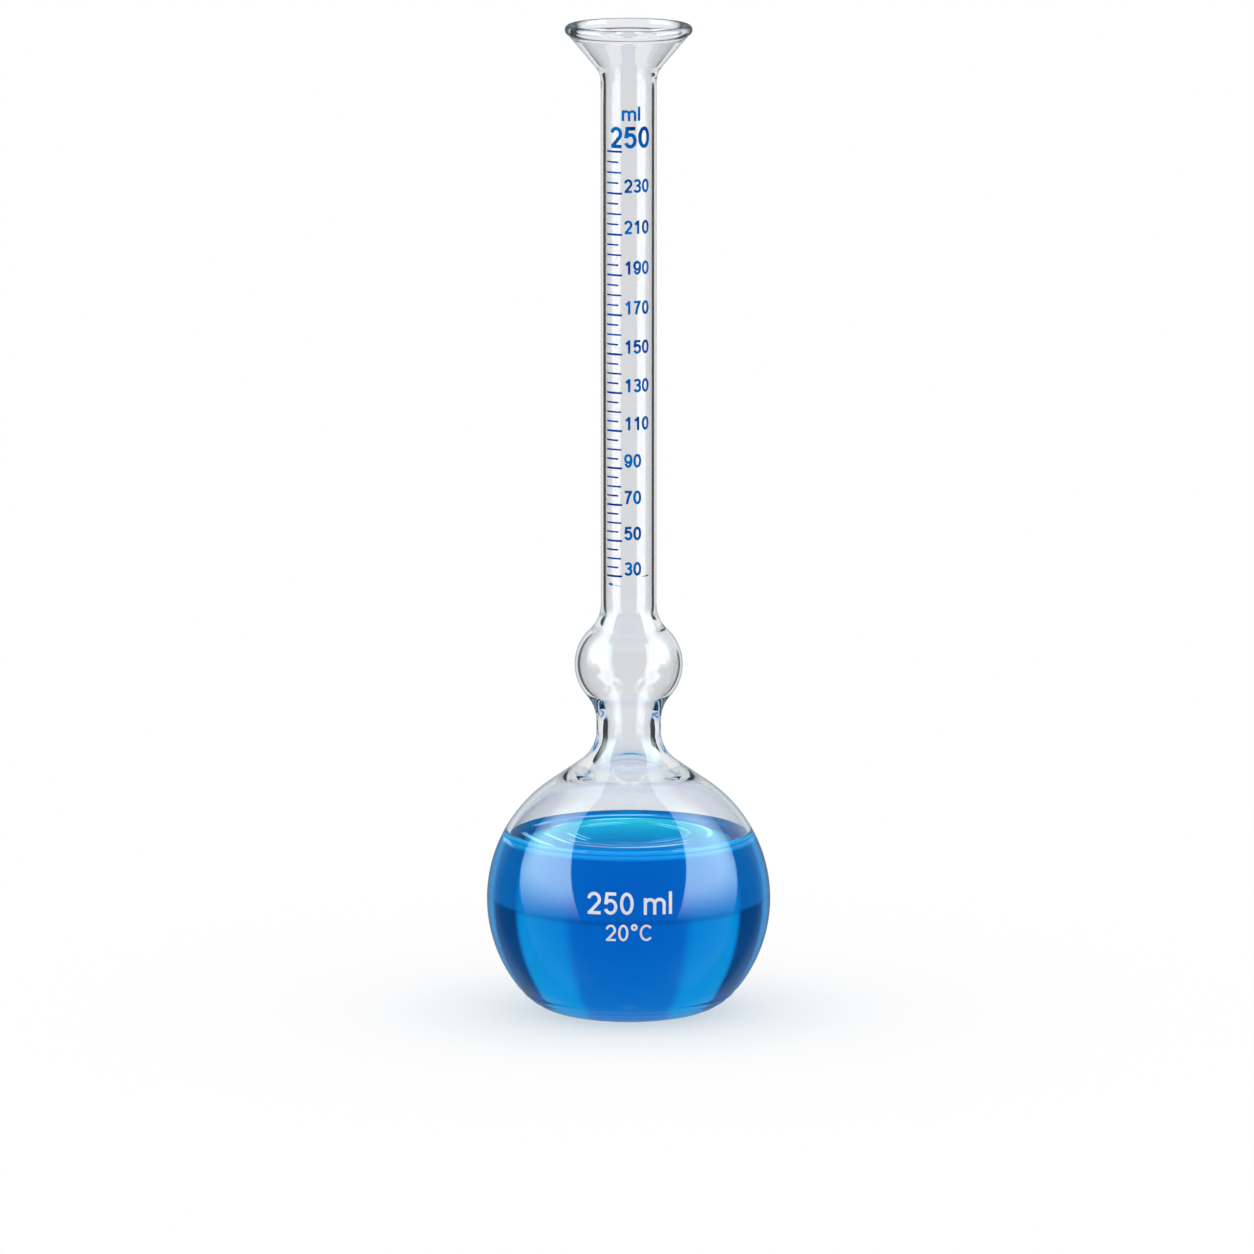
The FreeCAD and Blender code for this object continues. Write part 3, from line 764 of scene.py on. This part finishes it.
def dry_and_wetted(graph, inputs, only_dry=None):
    """The same clear surface twice: with a mirror's gloss where dry, without it where wetted."""
    dry = graph.node("ShaderNodeBsdfPrincipled", {}, {**inputs, **(only_dry or {})})
    under = graph.node("ShaderNodeBsdfPrincipled", {}, {**inputs, "Specular Tint": BLACK})
    where = graph.node("ShaderNodeAttribute", {"attribute_name": "wetted"}, output="Fac")
    return graph.node("ShaderNodeMixShader", inputs={0: where, 1: dry, 2: under})


# %% The tint of the glass and its painted edge shade
GLASS_TINT = (0.885, 0.892, 0.908, 1.0)
PAINTED_EDGE_SHADE = (0.30, 0.40, 0.54, 1.0)
PAINTED_RIM_SHADE = (0.008, 0.008, 0.009, 1.0)
EDGE_TURN = (0.7, 0.97)
RIM_TURN = (0.42, 0.72)
RIM_HEIGHTS = (0.2940, 0.2946)

glass = new_material("blown_clear_glass", flask)
place = glass.node("ShaderNodeTexCoord", output="Object")
height = glass.node("ShaderNodeSeparateXYZ", inputs={0: place}, output="Z")
turned_away = glass.node("ShaderNodeLayerWeight", inputs={"Blend": 0.5}, output="Facing")
# Painted shade: where the surface turns away from the eye the Base Color goes a darker grey blue.
tint_with_painted_edge_shade = glass.mix_colour(glass.rise(turned_away, *EDGE_TURN), GLASS_TINT, PAINTED_EDGE_SHADE)
# Painted shade on the rim's bead: its turned-away sides are painted nearly black in the Base Color.
at_rim = glass.rise(height, *RIM_HEIGHTS)
tint = glass.mix_colour(glass.rise(turned_away, *RIM_TURN) * at_rim, tint_with_painted_edge_shade, PAINTED_RIM_SHADE)
print("the glass keeps", GLASS_TINT[:3], "of the light at each surface")

# %% The relief and the surface of the glass
GLASS_IOR = 1.47
GLASS_SHADOW = (0.95, 0.96, 0.975, 1.0)
DRAWN_OUT = (1.0, 1.0, 0.06)
DRAW_LINE_SHARE = 0.25
RELIEF_HEIGHT = 0.00004
FROST = 0.22
FROST_HEIGHTS = (0.00005, 0.00025)

drawn = glass.node("ShaderNodeMapping", inputs={"Vector": place, "Scale": DRAWN_OUT})
draw_lines = glass.node("ShaderNodeTexNoise", {},
                        {"Vector": drawn, "Scale": 260.0, "Detail": 1.0})
swell = glass.node("ShaderNodeTexNoise", {}, {"Vector": place, "Scale": 40.0, "Detail": 0.0})
relief = draw_lines * DRAW_LINE_SHARE + swell
uneven = glass.node("ShaderNodeBump", inputs={"Height": relief, "Strength": 0.25,
                                              "Distance": RELIEF_HEIGHT})
frost = FROST * (1 - glass.rise(height, *FROST_HEIGHTS))
glass_surface = dry_and_wetted(glass, {
    "Base Color": tint, "Roughness": frost, "IOR": GLASS_IOR, "Transmission Weight": 1.0,
    "Normal": uneven})
glass.node("ShaderNodeOutputMaterial", inputs={
    "Surface": let_shadow_rays_through(glass, glass_surface, GLASS_SHADOW)})
print("glass: index of refraction", GLASS_IOR)

# %% [markdown]
# ## The liquid's finish
#
# A coloured liquid isn't blue on its surface: it takes red and green out of the light on its way
# through, so thin places are pale and thick ones are deep. Volume Absorption does exactly that.
# What is left after d metres is exp(-density * (1 - colour) * d) of each of red, green and blue.
# The density and the colour below are worked out from how much of each the photograph keeps
# through the middle of the bulb.
#
# A still surface isn't quite still: faint rings stand on it, a bump that grows with the distance
# from the axis. The short pale streaks where they would catch the light, the bright edge at the
# glass and the blue of the far corners are painted light, a glow of the surface's own on its upper
# side only, since a thin bump alone can't gather light as real ripples do. The dark line under
# the edge is painted shade: a darker Base Color in a band half a millimetre high.

# %% How deep the blue is
LIGHT_KEPT = np.array([0.0010, 0.150, 0.67])
MIDDLE_DEPTH = 0.083
DENSITY_MARGIN = 1.02

loss = -np.log(LIGHT_KEPT) / MIDDLE_DEPTH
DYE_DENSITY = float(loss.max() * DENSITY_MARGIN)
DYE_COLOUR = (*(1 - loss / DYE_DENSITY).tolist(), 1.0)
print("dye density", round(DYE_DENSITY, 1), "colour", [round(c, 3) for c in DYE_COLOUR])

# %% The colour of the liquid's skin, with a painted shade line
PALE_BLUE = (0.97, 0.99, 1.0, 1.0)
HAZY_BLUE = (0.90, 0.965, 1.0, 1.0)
PAINTED_SHADE_LINE_BLUE = (0.0, 0.02, 0.10, 1.0)
EDGE_LINE_FOOT = (0.05300, 0.05325)
EDGE_LINE_TOP = (0.05350, 0.05375)

dye = new_material("blue_water", liquid)
place = dye.node("ShaderNodeTexCoord", output="Object")
height = dye.node("ShaderNodeSeparateXYZ", inputs={0: place}, output="Z")
haze = dye.node("ShaderNodeTexNoise", {}, {"Vector": place, "Scale": 18.0, "Detail": 1.0})
# Painted shade: a dark band half a millimetre high in the Base Color, just under the liquid's edge.
painted_shade_line = dye.rise(height, *EDGE_LINE_FOOT) - dye.rise(height, *EDGE_LINE_TOP)
clear_blue = dye.mix_colour(haze, PALE_BLUE, HAZY_BLUE)
clear_blue = dye.mix_colour(painted_shade_line, clear_blue, PAINTED_SHADE_LINE_BLUE)
print("dark line under the edge: from", EDGE_LINE_FOOT[0], "to", EDGE_LINE_TOP[1], "m up")

# %% The painted light on its surface
PAINTED_SURFACE_GLOW = (0.0, 0.010, 0.06, 1.0)
PAINTED_FAR_GLOW = (0.0, 0.14, 0.33, 1.0)
PAINTED_MENISCUS_GLOW = (0.01, 0.22, 0.42, 1.0)
PAINTED_STREAK_GLOW = (0.25, 0.60, 0.82, 1.0)
FAR_REACH = (0.020, 0.034)
FAR_DEPTH = (-0.020, 0.015)
MENISCUS_START = (brim - 0.45) * MM
MENISCUS_FULL = (brim - 0.15) * MM
STREAK_HALF_WIDTH = (0.01, 0.07)
STREAK_PATCHES = (0.44, 0.60)
STREAK_START = (0.010, 0.018)
WANDER_REACH = 0.004

flat = dye.node("ShaderNodeVectorMath", {"operation": "MULTIPLY"}, {0: place, 1: (1.0, 1.0, 0.0)})
radius = dye.node("ShaderNodeVectorMath", {"operation": "LENGTH"}, {0: flat}, output="Value")
backwards = dye.node("ShaderNodeSeparateXYZ", inputs={0: place}, output="Y")
at_the_back = dye.rise(radius, *FAR_REACH) * dye.rise(backwards, *FAR_DEPTH)
meniscus = dye.rise(radius, MENISCUS_START, MENISCUS_FULL)
wander = dye.node("ShaderNodeTexNoise", {}, {"Vector": place, "Scale": 55.0, "Detail": 0.0})
lines = dye.node("ShaderNodeTexNoise", {"noise_dimensions": "1D"},
                 {"W": radius + WANDER_REACH * wander, "Scale": 150.0, "Detail": 0.0})
streaks = 1 - dye.rise(abs(lines - 0.5), *STREAK_HALF_WIDTH)
streaks = streaks * dye.rise(wander, *STREAK_PATCHES) * dye.rise(radius, *STREAK_START)
underside = dye.node("ShaderNodeNewGeometry", output="Backfacing")
lit = dye.mix_colour(at_the_back, PAINTED_SURFACE_GLOW, PAINTED_FAR_GLOW)
lit = dye.mix_colour(meniscus, lit, PAINTED_MENISCUS_GLOW)
lit = dye.mix_colour(streaks, lit, PAINTED_STREAK_GLOW)
lit = dye.mix_colour(underside, lit, BLACK)
print("the surface is brightest beyond", round(MENISCUS_FULL, 4), "m from the axis")

# %% Its ripples, and the liquid's material
LIQUID_IOR = 1.333
LIQUID_SHADOW = (0.97, 0.99, 1.0, 1.0)
RIPPLE_HEIGHT = 0.0009
RIPPLE_GROWTH = (0.006, 0.026)

ripples = dye.node("ShaderNodeTexNoise", {"noise_dimensions": "1D"},
                   {"W": radius, "Scale": 170.0, "Detail": 1.0})
ripples = ripples * dye.rise(radius, *RIPPLE_GROWTH)
rippled = dye.node("ShaderNodeBump", inputs={"Height": ripples, "Strength": 1.0,
                                             "Distance": RIPPLE_HEIGHT})
# Emission Color carries the painted glow: streaks, the bright edge and the far corners, on the upper side
# only.
liquid_surface_shader = dry_and_wetted(dye, {
    "Base Color": clear_blue, "Roughness": 0.0, "IOR": LIQUID_IOR, "Transmission Weight": 1.0},
    {"Normal": rippled, "Emission Color": lit, "Emission Strength": 1.0})
absorption = dye.node("ShaderNodeVolumeAbsorption", {},
                      {"Color": DYE_COLOUR, "Density": DYE_DENSITY})
dye.node("ShaderNodeOutputMaterial", inputs={
    "Surface": let_shadow_rays_through(dye, liquid_surface_shader, LIQUID_SHADOW),
    "Volume": absorption})
print("liquid: index of refraction", LIQUID_IOR)

# %% [markdown]
# ## The enamels
#
# Fired enamel is opaque and satin. Screen printing lays it unevenly, so its blue wanders between
# a deep and a lighter one, and its surface has a fine grain. One recipe serves both colours.


# %% Make the enamels
SHADE_DRIFT = (0.38, 0.66)
SATIN = 0.42
GRAIN_SATIN = 0.12
GRAIN_HEIGHT = 0.00002


def enamel(name, piece, deep, light, alpha=None):
    """Satin enamel that wanders between two shades, with a fine grain."""
    graph = new_material(name, piece)
    place = graph.node("ShaderNodeTexCoord", output="Object")
    drift = graph.node("ShaderNodeTexNoise", {},
                       {"Vector": place, "Scale": 160.0, "Detail": 2.0})
    grain = graph.node("ShaderNodeTexNoise", {},
                       {"Vector": place, "Scale": 6000.0, "Detail": 1.0})
    colour = graph.mix_colour(graph.rise(drift, *SHADE_DRIFT), deep, light)
    bumps = graph.node("ShaderNodeBump", inputs={"Height": grain, "Strength": 0.3,
                                                 "Distance": GRAIN_HEIGHT})
    inputs = {"Base Color": colour, "Roughness": SATIN + GRAIN_SATIN * grain, "Normal": bumps,
              "Specular IOR Level": 0.0}
    if alpha:
        inputs["Alpha"] = alpha(graph, place)
    surface = graph.node("ShaderNodeBsdfPrincipled", {}, inputs)
    graph.node("ShaderNodeOutputMaterial", inputs={"Surface": surface})
    print(name, "is on", piece.name)


BLOT_EDGE = (-0.0050, -0.0044)
GHOST_EDGE = (-0.0045, 0.0)
RIGHT_EDGE = (0.0036, 0.0060)


def fading(graph, place):
    """Opaque at the left blot, faint in the ghost stroke, and rising to the right one's end.

    Each is a smooth step across the neck, times how opaque that stroke is.
    """
    across = graph.node("ShaderNodeSeparateXYZ", inputs={0: place}, output="X")
    blot = 1 - graph.rise(across, *BLOT_EDGE)
    ghost = 1 - graph.rise(across, *GHOST_EDGE)
    right_end = graph.rise(across, *RIGHT_EDGE)
    return 0.55 * blot + 0.2 * ghost + 0.75 * right_end


NUMBER_BLUES = (screen_colour(0, 72, 152), screen_colour(0, 112, 196))
STROKE_BLUES = (screen_colour(0, 50, 135), screen_colour(0, 82, 172))
FADED_BLUES = (screen_colour(0, 90, 175), screen_colour(0, 130, 200))
ENAMEL_WHITES = (screen_colour(233, 234, 245), screen_colour(248, 248, 252))

enamel("blue_enamel_numbers", scale_numbers, *NUMBER_BLUES)
enamel("blue_enamel_strokes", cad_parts["graduation_marks"], *STROKE_BLUES)
enamel("faded_blue_enamel", faded_strokes, *FADED_BLUES, fading)
enamel("white_enamel", capacity_mark, *ENAMEL_WHITES)

# %% [markdown]
# ## The studio
#
# Clear glass shows nothing but what stands round it, so the studio is as much a part of its look
# as its material. Five kinds of rays meet the world here, and the Light Path node tells them
# apart. The camera sees a white page. Rays that light the enamel and the floor meet an even pale
# room. Rays that have only been bent by the glass and the liquid meet a white wall with a dark
# board on each side and a dark ceiling, which draw the dark bands and lines of real glass. Rays
# that have been mirrored once (their glossy depth is 1) meet a dark room with two tall soft
# boxes, which make the white bands, and a narrower white wall behind the flask. Rays that were
# mirrored twice or more have mixed so many directions that they meet one even grey. Without
# that they speckle the shoulder.
#
# Everything is written as a function of direction, turn degrees round from straight behind the
# flask and tilt degrees up, so it is the same for every height of the flask.

# %% Directions in the studio
world = bpy.data.worlds.new("studio")
bpy.context.scene.world = world
studio = Graph(world)
way = studio.node("ShaderNodeTexCoord", output="Generated")
parts = {axis: studio.node("ShaderNodeSeparateXYZ", inputs={0: way}, output=axis)
         for axis in "XYZ"}
DEGREE = math.pi / 180


def degrees_round(depth):
    """Degrees round from the direction of depth, alike to the left and right: atan2(|x|, depth)."""
    return depth.maths("ARCTAN2", abs(parts["X"]), depth) * (1 / DEGREE)


turn = degrees_round(parts["Y"])
tilt = parts["Z"].maths("ARCSINE", parts["Z"]) * (1 / DEGREE)


def between(angle, first, last, blur=1.5):
    """1 between two angles and 0 outside them, with soft edges."""
    return (studio.rise(angle, first - blur, first + blur)
            - studio.rise(angle, last - blur, last + blur))


# %% [markdown]
# ### How far a ray has come
#
# Light Path also counts how many surfaces a ray has crossed, its transmission depth. A ray that
# crosses the empty neck has crossed four, and one that crosses the liquid six. One that was
# mirrored off the outside has crossed none, one mirrored inside the wall two, and one mirrored
# on the far side four or more. One mirrored inside the liquid has crossed seven or more. That is
# enough to show each of them the part of the studio that it meets, as a photographer does with
# small boards set close to the glass.
#
# The edge of the table is also written here, as a tilt a few degrees below level. The liquid
# bends it into the curved line across the bulb. A table of real size would put its edge
# elsewhere in every view, and the line would wander.

# %% Sort the rays
light_path = {kind: studio.node("ShaderNodeLightPath", output=kind)
              for kind in ("Is Camera Ray", "Is Glossy Ray", "Is Transmission Ray",
                           "Glossy Depth", "Transmission Depth")}
crossed = light_path["Transmission Depth"]
often = studio.rise(light_path["Glossy Depth"], 1.5, 2.5)
in_wall = studio.rise(crossed, 0.5, 1.5)
far_side = studio.rise(crossed, 2.5, 3.5)
wet = studio.rise(crossed, 4.5, 5.5)
deep = studio.rise(crossed, 6.2, 6.8)
print("rays are sorted by", ", ".join(light_path))

# %% What bent light meets
TABLE_EDGE = -5.7
TABLE_BLUR = 0.7
TABLE_LINE_HALF = 0.4
TABLE_LINE_SHADE = 0.25
BOARD_EDGES = (31.0, 50.0)
BOARD_SHADE = 0.72
BOARD_BELOW_TABLE = 0.4
DARK_RIM = (65.0, 68.0)
DARK_RIM_SHADE = 0.8
CEILING_EDGES = (35.0, 45.0)
CEILING_SHADE = 0.5

above_table = studio.rise(tilt, TABLE_EDGE - TABLE_BLUR, TABLE_EDGE + TABLE_BLUR)
board = between(turn, *BOARD_EDGES) + DARK_RIM_SHADE * studio.rise(turn, *DARK_RIM)
board = board * (BOARD_BELOW_TABLE + (1 - BOARD_BELOW_TABLE) * above_table) * wet
ceiling = studio.rise(tilt, *CEILING_EDGES)
table_line = between(tilt, TABLE_EDGE - TABLE_LINE_HALF, TABLE_EDGE + TABLE_LINE_HALF, 0.6) * wet
bent = (1 - BOARD_SHADE * board) * (1 - CEILING_SHADE * ceiling)
bent = bent * (1 - TABLE_LINE_SHADE * table_line)

# %% The colour of bent light
BRIGHT_WALL = (13.0, 30.0)
BRIGHT_RIM = (53.0, 63.0)
BRIGHT_BELOW_TABLE = 0.5
BRIGHT_LIGHT = (0.6, 1.7, 1.25, 1.0)
UNDER_TABLE = (-36.0, -26.0)
UNDER_LIGHT = (0.3, 2.0, 1.4, 1.0)

wall_share = BRIGHT_BELOW_TABLE + (1 - BRIGHT_BELOW_TABLE) * above_table
glow = (between(turn, *BRIGHT_WALL, 2.0) * wall_share + between(turn, *BRIGHT_RIM, 1.0)) * wet
under = (1 - studio.rise(tilt, *UNDER_TABLE)) * wet
level_colour = studio.mix_colour(glow, WHITE, BRIGHT_LIGHT)
bent_colour = studio.mix_colour(under, level_colour, UNDER_LIGHT)
print("studio: dark boards from", BOARD_EDGES[0], "to", BOARD_EDGES[1], "degrees")

# %% [markdown]
# ### The soft boxes
#
# The near soft boxes are the ones that the outside of the glass mirrors. They lean back by 30
# degrees, so their mirror images run up over the shoulder of the bulb, as they do in the
# photograph, in place of ending in a point above the liquid.
#
# The inside of the wall mirrors the white wall behind and a bright space above level, up to 80
# degrees round. On the left that space starts only 38 degrees up, which keeps the photograph's
# broad dark line there. For rays mirrored on the far side, a small shade covers the boxes' near
# edges just above level, or the liquid's surface would be a white mirror when the flask is seen
# from its side. Rays mirrored inside the liquid take a blue-green tint of their own.

# %% What the outside of the glass mirrors
NEAR_BOX_EDGES = (82.0, 133.0)
NEAR_BOX_LEAN = 30.0 * DEGREE
NEAR_BOX_LIGHT = 7.5
NEAR_BOX_FOOT = (-12.0, 18.0)
NEAR_BOX_TOP = (28.0, 72.0)
NEAR_BOX_TOP_SHADE = 0.6
NEAR_BOX_REAR = (0.08, 0.55)
NEAR_BOX_FRONT = (84.0, 104.0)
NEAR_BOX_FRONT_SHADE = 0.25
SIDE_EDGES = (32.0, 56.0)
SIDE_LIGHT = 0.33

leaned = math.cos(NEAR_BOX_LEAN) * parts["Y"] - math.sin(NEAR_BOX_LEAN) * parts["Z"]
leaned_turn = degrees_round(leaned)
near_box = between(leaned_turn, *NEAR_BOX_EDGES, 0.8)
near_box = near_box * (1 - NEAR_BOX_TOP_SHADE * studio.rise(tilt, *NEAR_BOX_TOP))
near_box = near_box * (1 - studio.rise(parts["Y"], *NEAR_BOX_REAR))
near_box = near_box * (1 - NEAR_BOX_FRONT_SHADE * (1 - studio.rise(leaned_turn, *NEAR_BOX_FRONT)))
near_box = near_box * studio.rise(tilt, *NEAR_BOX_FOOT)
sides = 1 - studio.rise(turn, *SIDE_EDGES)
near_side = NEAR_BOX_LIGHT * near_box + SIDE_LIGHT * sides

# %% What the inside of the wall mirrors
WALL_EDGE = 28.0
WALL_BLUR = 1.5
WALL_FOOT = (-1.0, 5.0)
LEFT_WALL_RISE = 38.0
LEFT_BLUR = 0.05
BESIDE_WALL = (76.0, 80.0)

behind = 1 - studio.rise(turn, WALL_EDGE - WALL_BLUR, WALL_EDGE + WALL_BLUR)
on_left = 1 - studio.rise(parts["X"], -LEFT_BLUR, LEFT_BLUR)
above_wall_foot = studio.rise(tilt - LEFT_WALL_RISE * on_left, *WALL_FOOT)
inner_wall = 1 - (1 - behind) * (1 - above_wall_foot)
inner_wall = inner_wall * (1 - studio.rise(turn, *BESIDE_WALL))

# %% What the far side mirrors
FAR_BOX_EDGES = (84.0, 138.0)
FAR_BOX_HEIGHTS = (-60.0, 87.0)
FAR_BOX_LIGHT = 5.5
SHADE_HEIGHTS = (1.0, 24.0)
SHADE_EDGE = (100.0, 106.0)
TABLE_BELOW = (-25.0, -18.0)
LOW_WALL_TOP = (2.0, 6.0)

table_below = 1 - studio.rise(tilt, *TABLE_BELOW)
low_wall = behind * (1 - studio.rise(tilt, *LOW_WALL_TOP))
shaded = between(tilt, *SHADE_HEIGHTS) * (1 - studio.rise(turn, *SHADE_EDGE))
far_box = between(turn, *FAR_BOX_EDGES, 1.0) * between(tilt, *FAR_BOX_HEIGHTS) * (1 - shaded)
far_wall = table_below + (1 - table_below) * low_wall + FAR_BOX_LIGHT * far_box
print("studio: near boxes at", NEAR_BOX_EDGES, "and far boxes at", FAR_BOX_EDGES, "degrees")

# %% Mirrored light, put together
ROOM_LIGHT = 0.02
OFTEN_LIGHT = 0.82
NEAR_BOX_TINT = (0.92, 1.13, 1.0, 1.0)
LOW_TINT = (0.62, 0.87, 1.02, 1.0)
DEEP_MIDDLE_TINT = (0.1, 0.60, 0.85, 1.0)
DEEP_SIDE_TINT = (0.3, 1.5, 1.15, 1.0)
DEEP_SIDE = (18.0, 40.0)

once = near_side * (1 - in_wall) + inner_wall * (in_wall - far_side) + far_wall * far_side
mirrored = once * (1 - often) + OFTEN_LIGHT * often + ROOM_LIGHT
mirrored = mirrored * (1 - deep) + deep
low = sides * (1 - in_wall) + table_below * far_side
box_colour = studio.mix_colour(in_wall, NEAR_BOX_TINT, WHITE)
dry_colour = studio.mix_colour(low, box_colour, LOW_TINT)
deep_colour = studio.mix_colour(studio.rise(turn, *DEEP_SIDE), DEEP_MIDDLE_TINT, DEEP_SIDE_TINT)
mirror_colour = studio.mix_colour(deep, dry_colour, deep_colour)

# %% Light the studio
page = studio.node("ShaderNodeBackground", inputs={"Color": WHITE, "Strength": 1.0})
even = studio.node("ShaderNodeBackground", inputs={"Color": WHITE, "Strength": 1.0})
through = studio.node("ShaderNodeBackground", inputs={"Color": bent_colour, "Strength": bent})
mirror = studio.node("ShaderNodeBackground", inputs={"Color": mirror_colour, "Strength": mirrored})
by_glass = studio.node("ShaderNodeMixShader",
                       inputs={0: light_path["Glossy Depth"], 1: through, 2: mirror})
glassy = light_path["Is Glossy Ray"] + light_path["Is Transmission Ray"]
lit = studio.node("ShaderNodeMixShader", inputs={0: glassy, 1: even, 2: by_glass})
seen = studio.node("ShaderNodeMixShader", inputs={0: light_path["Is Camera Ray"], 1: lit, 2: page})
studio.node("ShaderNodeOutputWorld", inputs={"Surface": seen})
print("studio:", len(studio.tree.nodes), "nodes")

# %% [markdown]
# ## The floor
#
# The floor is a pale round table top. Part of its white is its own and part is the studio's light
# on it, so the flask still throws a light, soft shadow, blue where it falls through the liquid.
# Near the foot the floor's own white is also painted pale blue, a painted shadow. Rays that the
# glass or the liquid has bent or mirrored go through it to the studio below, because a white
# table mirrored in the flask would lie over the liquid as a grey veil.

# %% Make the floor
FLOOR_REACH = 280.0
FLOOR_THICKNESS = 4.0
FLOOR_DROP = 0.05
FLOOR_COLUMNS = 128

floor_section = np.array([
    (0.0, -FLOOR_DROP - FLOOR_THICKNESS), (FLOOR_REACH, -FLOOR_DROP - FLOOR_THICKNESS),
    (FLOOR_REACH, -FLOOR_DROP), (0.0, -FLOOR_DROP)])
floor = turned_surface("floor", floor_section, FLOOR_COLUMNS, smooth=False)

# %% Finish the floor
FLOOR_COLOUR = (0.42, 0.42, 0.42, 1.0)
FLOOR_GLOW = 0.585
PAINTED_BLUE_SHADE = (0.90, 0.972, 1.0, 1.0)
NEAR_REACH = (0.030, 0.085)

table = new_material("pale_table", floor)
light_path = {kind: table.node("ShaderNodeLightPath", output=kind)
              for kind in ("Is Camera Ray", "Is Glossy Ray", "Is Transmission Ray")}
glassy = table.rise(light_path["Is Glossy Ray"] + light_path["Is Transmission Ray"], 0.0, 1.0)
matt = table.node("ShaderNodeBsdfDiffuse", inputs={"Color": FLOOR_COLOUR})
place = table.node("ShaderNodeTexCoord", output="Object")
distance = table.node("ShaderNodeVectorMath", {"operation": "LENGTH"}, {0: place}, output="Value")
# Painted shadow: near the foot the floor's own glow is painted pale blue.
painted_shade_mask = 1 - table.rise(distance, *NEAR_REACH)
glow_with_painted_shade = table.mix_colour(painted_shade_mask, WHITE, PAINTED_BLUE_SHADE)
own_light = FLOOR_GLOW * light_path["Is Camera Ray"]
own = table.node("ShaderNodeEmission", inputs={"Color": glow_with_painted_shade, "Strength": own_light})
top = table.node("ShaderNodeAddShader", inputs={0: matt, 1: own})
left_out = table.node("ShaderNodeBsdfTransparent", inputs={"Color": WHITE})
shown = table.node("ShaderNodeMixShader", inputs={0: glassy, 1: top, 2: left_out})
table.node("ShaderNodeOutputMaterial", inputs={"Surface": shown})
print("floor: radius", FLOOR_REACH, "mm, glow", FLOOR_GLOW)

# %% [markdown]
# ## The camera
#
# The ellipses of the rim, the liquid and the foot say where the camera stood: 3.44 metres in
# front of the axis and 0.697 metres up, with a long lens. The axis is a pixel or two right of
# the middle of the picture, so the camera stands that little to the left.

# %% Place the camera
CAMERA_PLACE = Vector((-0.00048, -3.44, 0.697))
CAMERA_AIM = Vector((-0.00048, 0.0, 0.1163))
FOCAL_PIXELS = 11676.0
PICTURE_PIXELS = 1254.0
SENSOR = 36.0

lens = bpy.data.cameras.new("camera")
lens.sensor_width = SENSOR
lens.lens = FOCAL_PIXELS / PICTURE_PIXELS * SENSOR
lens.clip_end = 20.0
camera = bpy.data.objects.new("camera", lens)
bpy.context.scene.collection.objects.link(camera)
camera.location = CAMERA_PLACE
camera.rotation_mode = "QUATERNION"
camera.rotation_quaternion = (CAMERA_AIM - CAMERA_PLACE).to_track_quat("-Z", "Y")
bpy.context.scene.camera = camera
print("lens", round(lens.lens, 1), "mm")

# %% [markdown]
# ## Light paths and colours
#
# Light crosses up to a dozen surfaces on its way through the bulb and the liquid, so more
# bounces than usual are allowed. The Standard view shows each colour as it is written.

# %% Set the view and finish
BOUNCES = 32
GLOSSY_BOUNCES = 12

scene = bpy.context.scene
scene.view_settings.view_transform = "Standard"
scene.cycles.max_bounces = BOUNCES
scene.cycles.transmission_bounces = BOUNCES
scene.cycles.transparent_max_bounces = BOUNCES
scene.cycles.glossy_bounces = GLOSSY_BOUNCES
scene.cycles.caustics_reflective = False
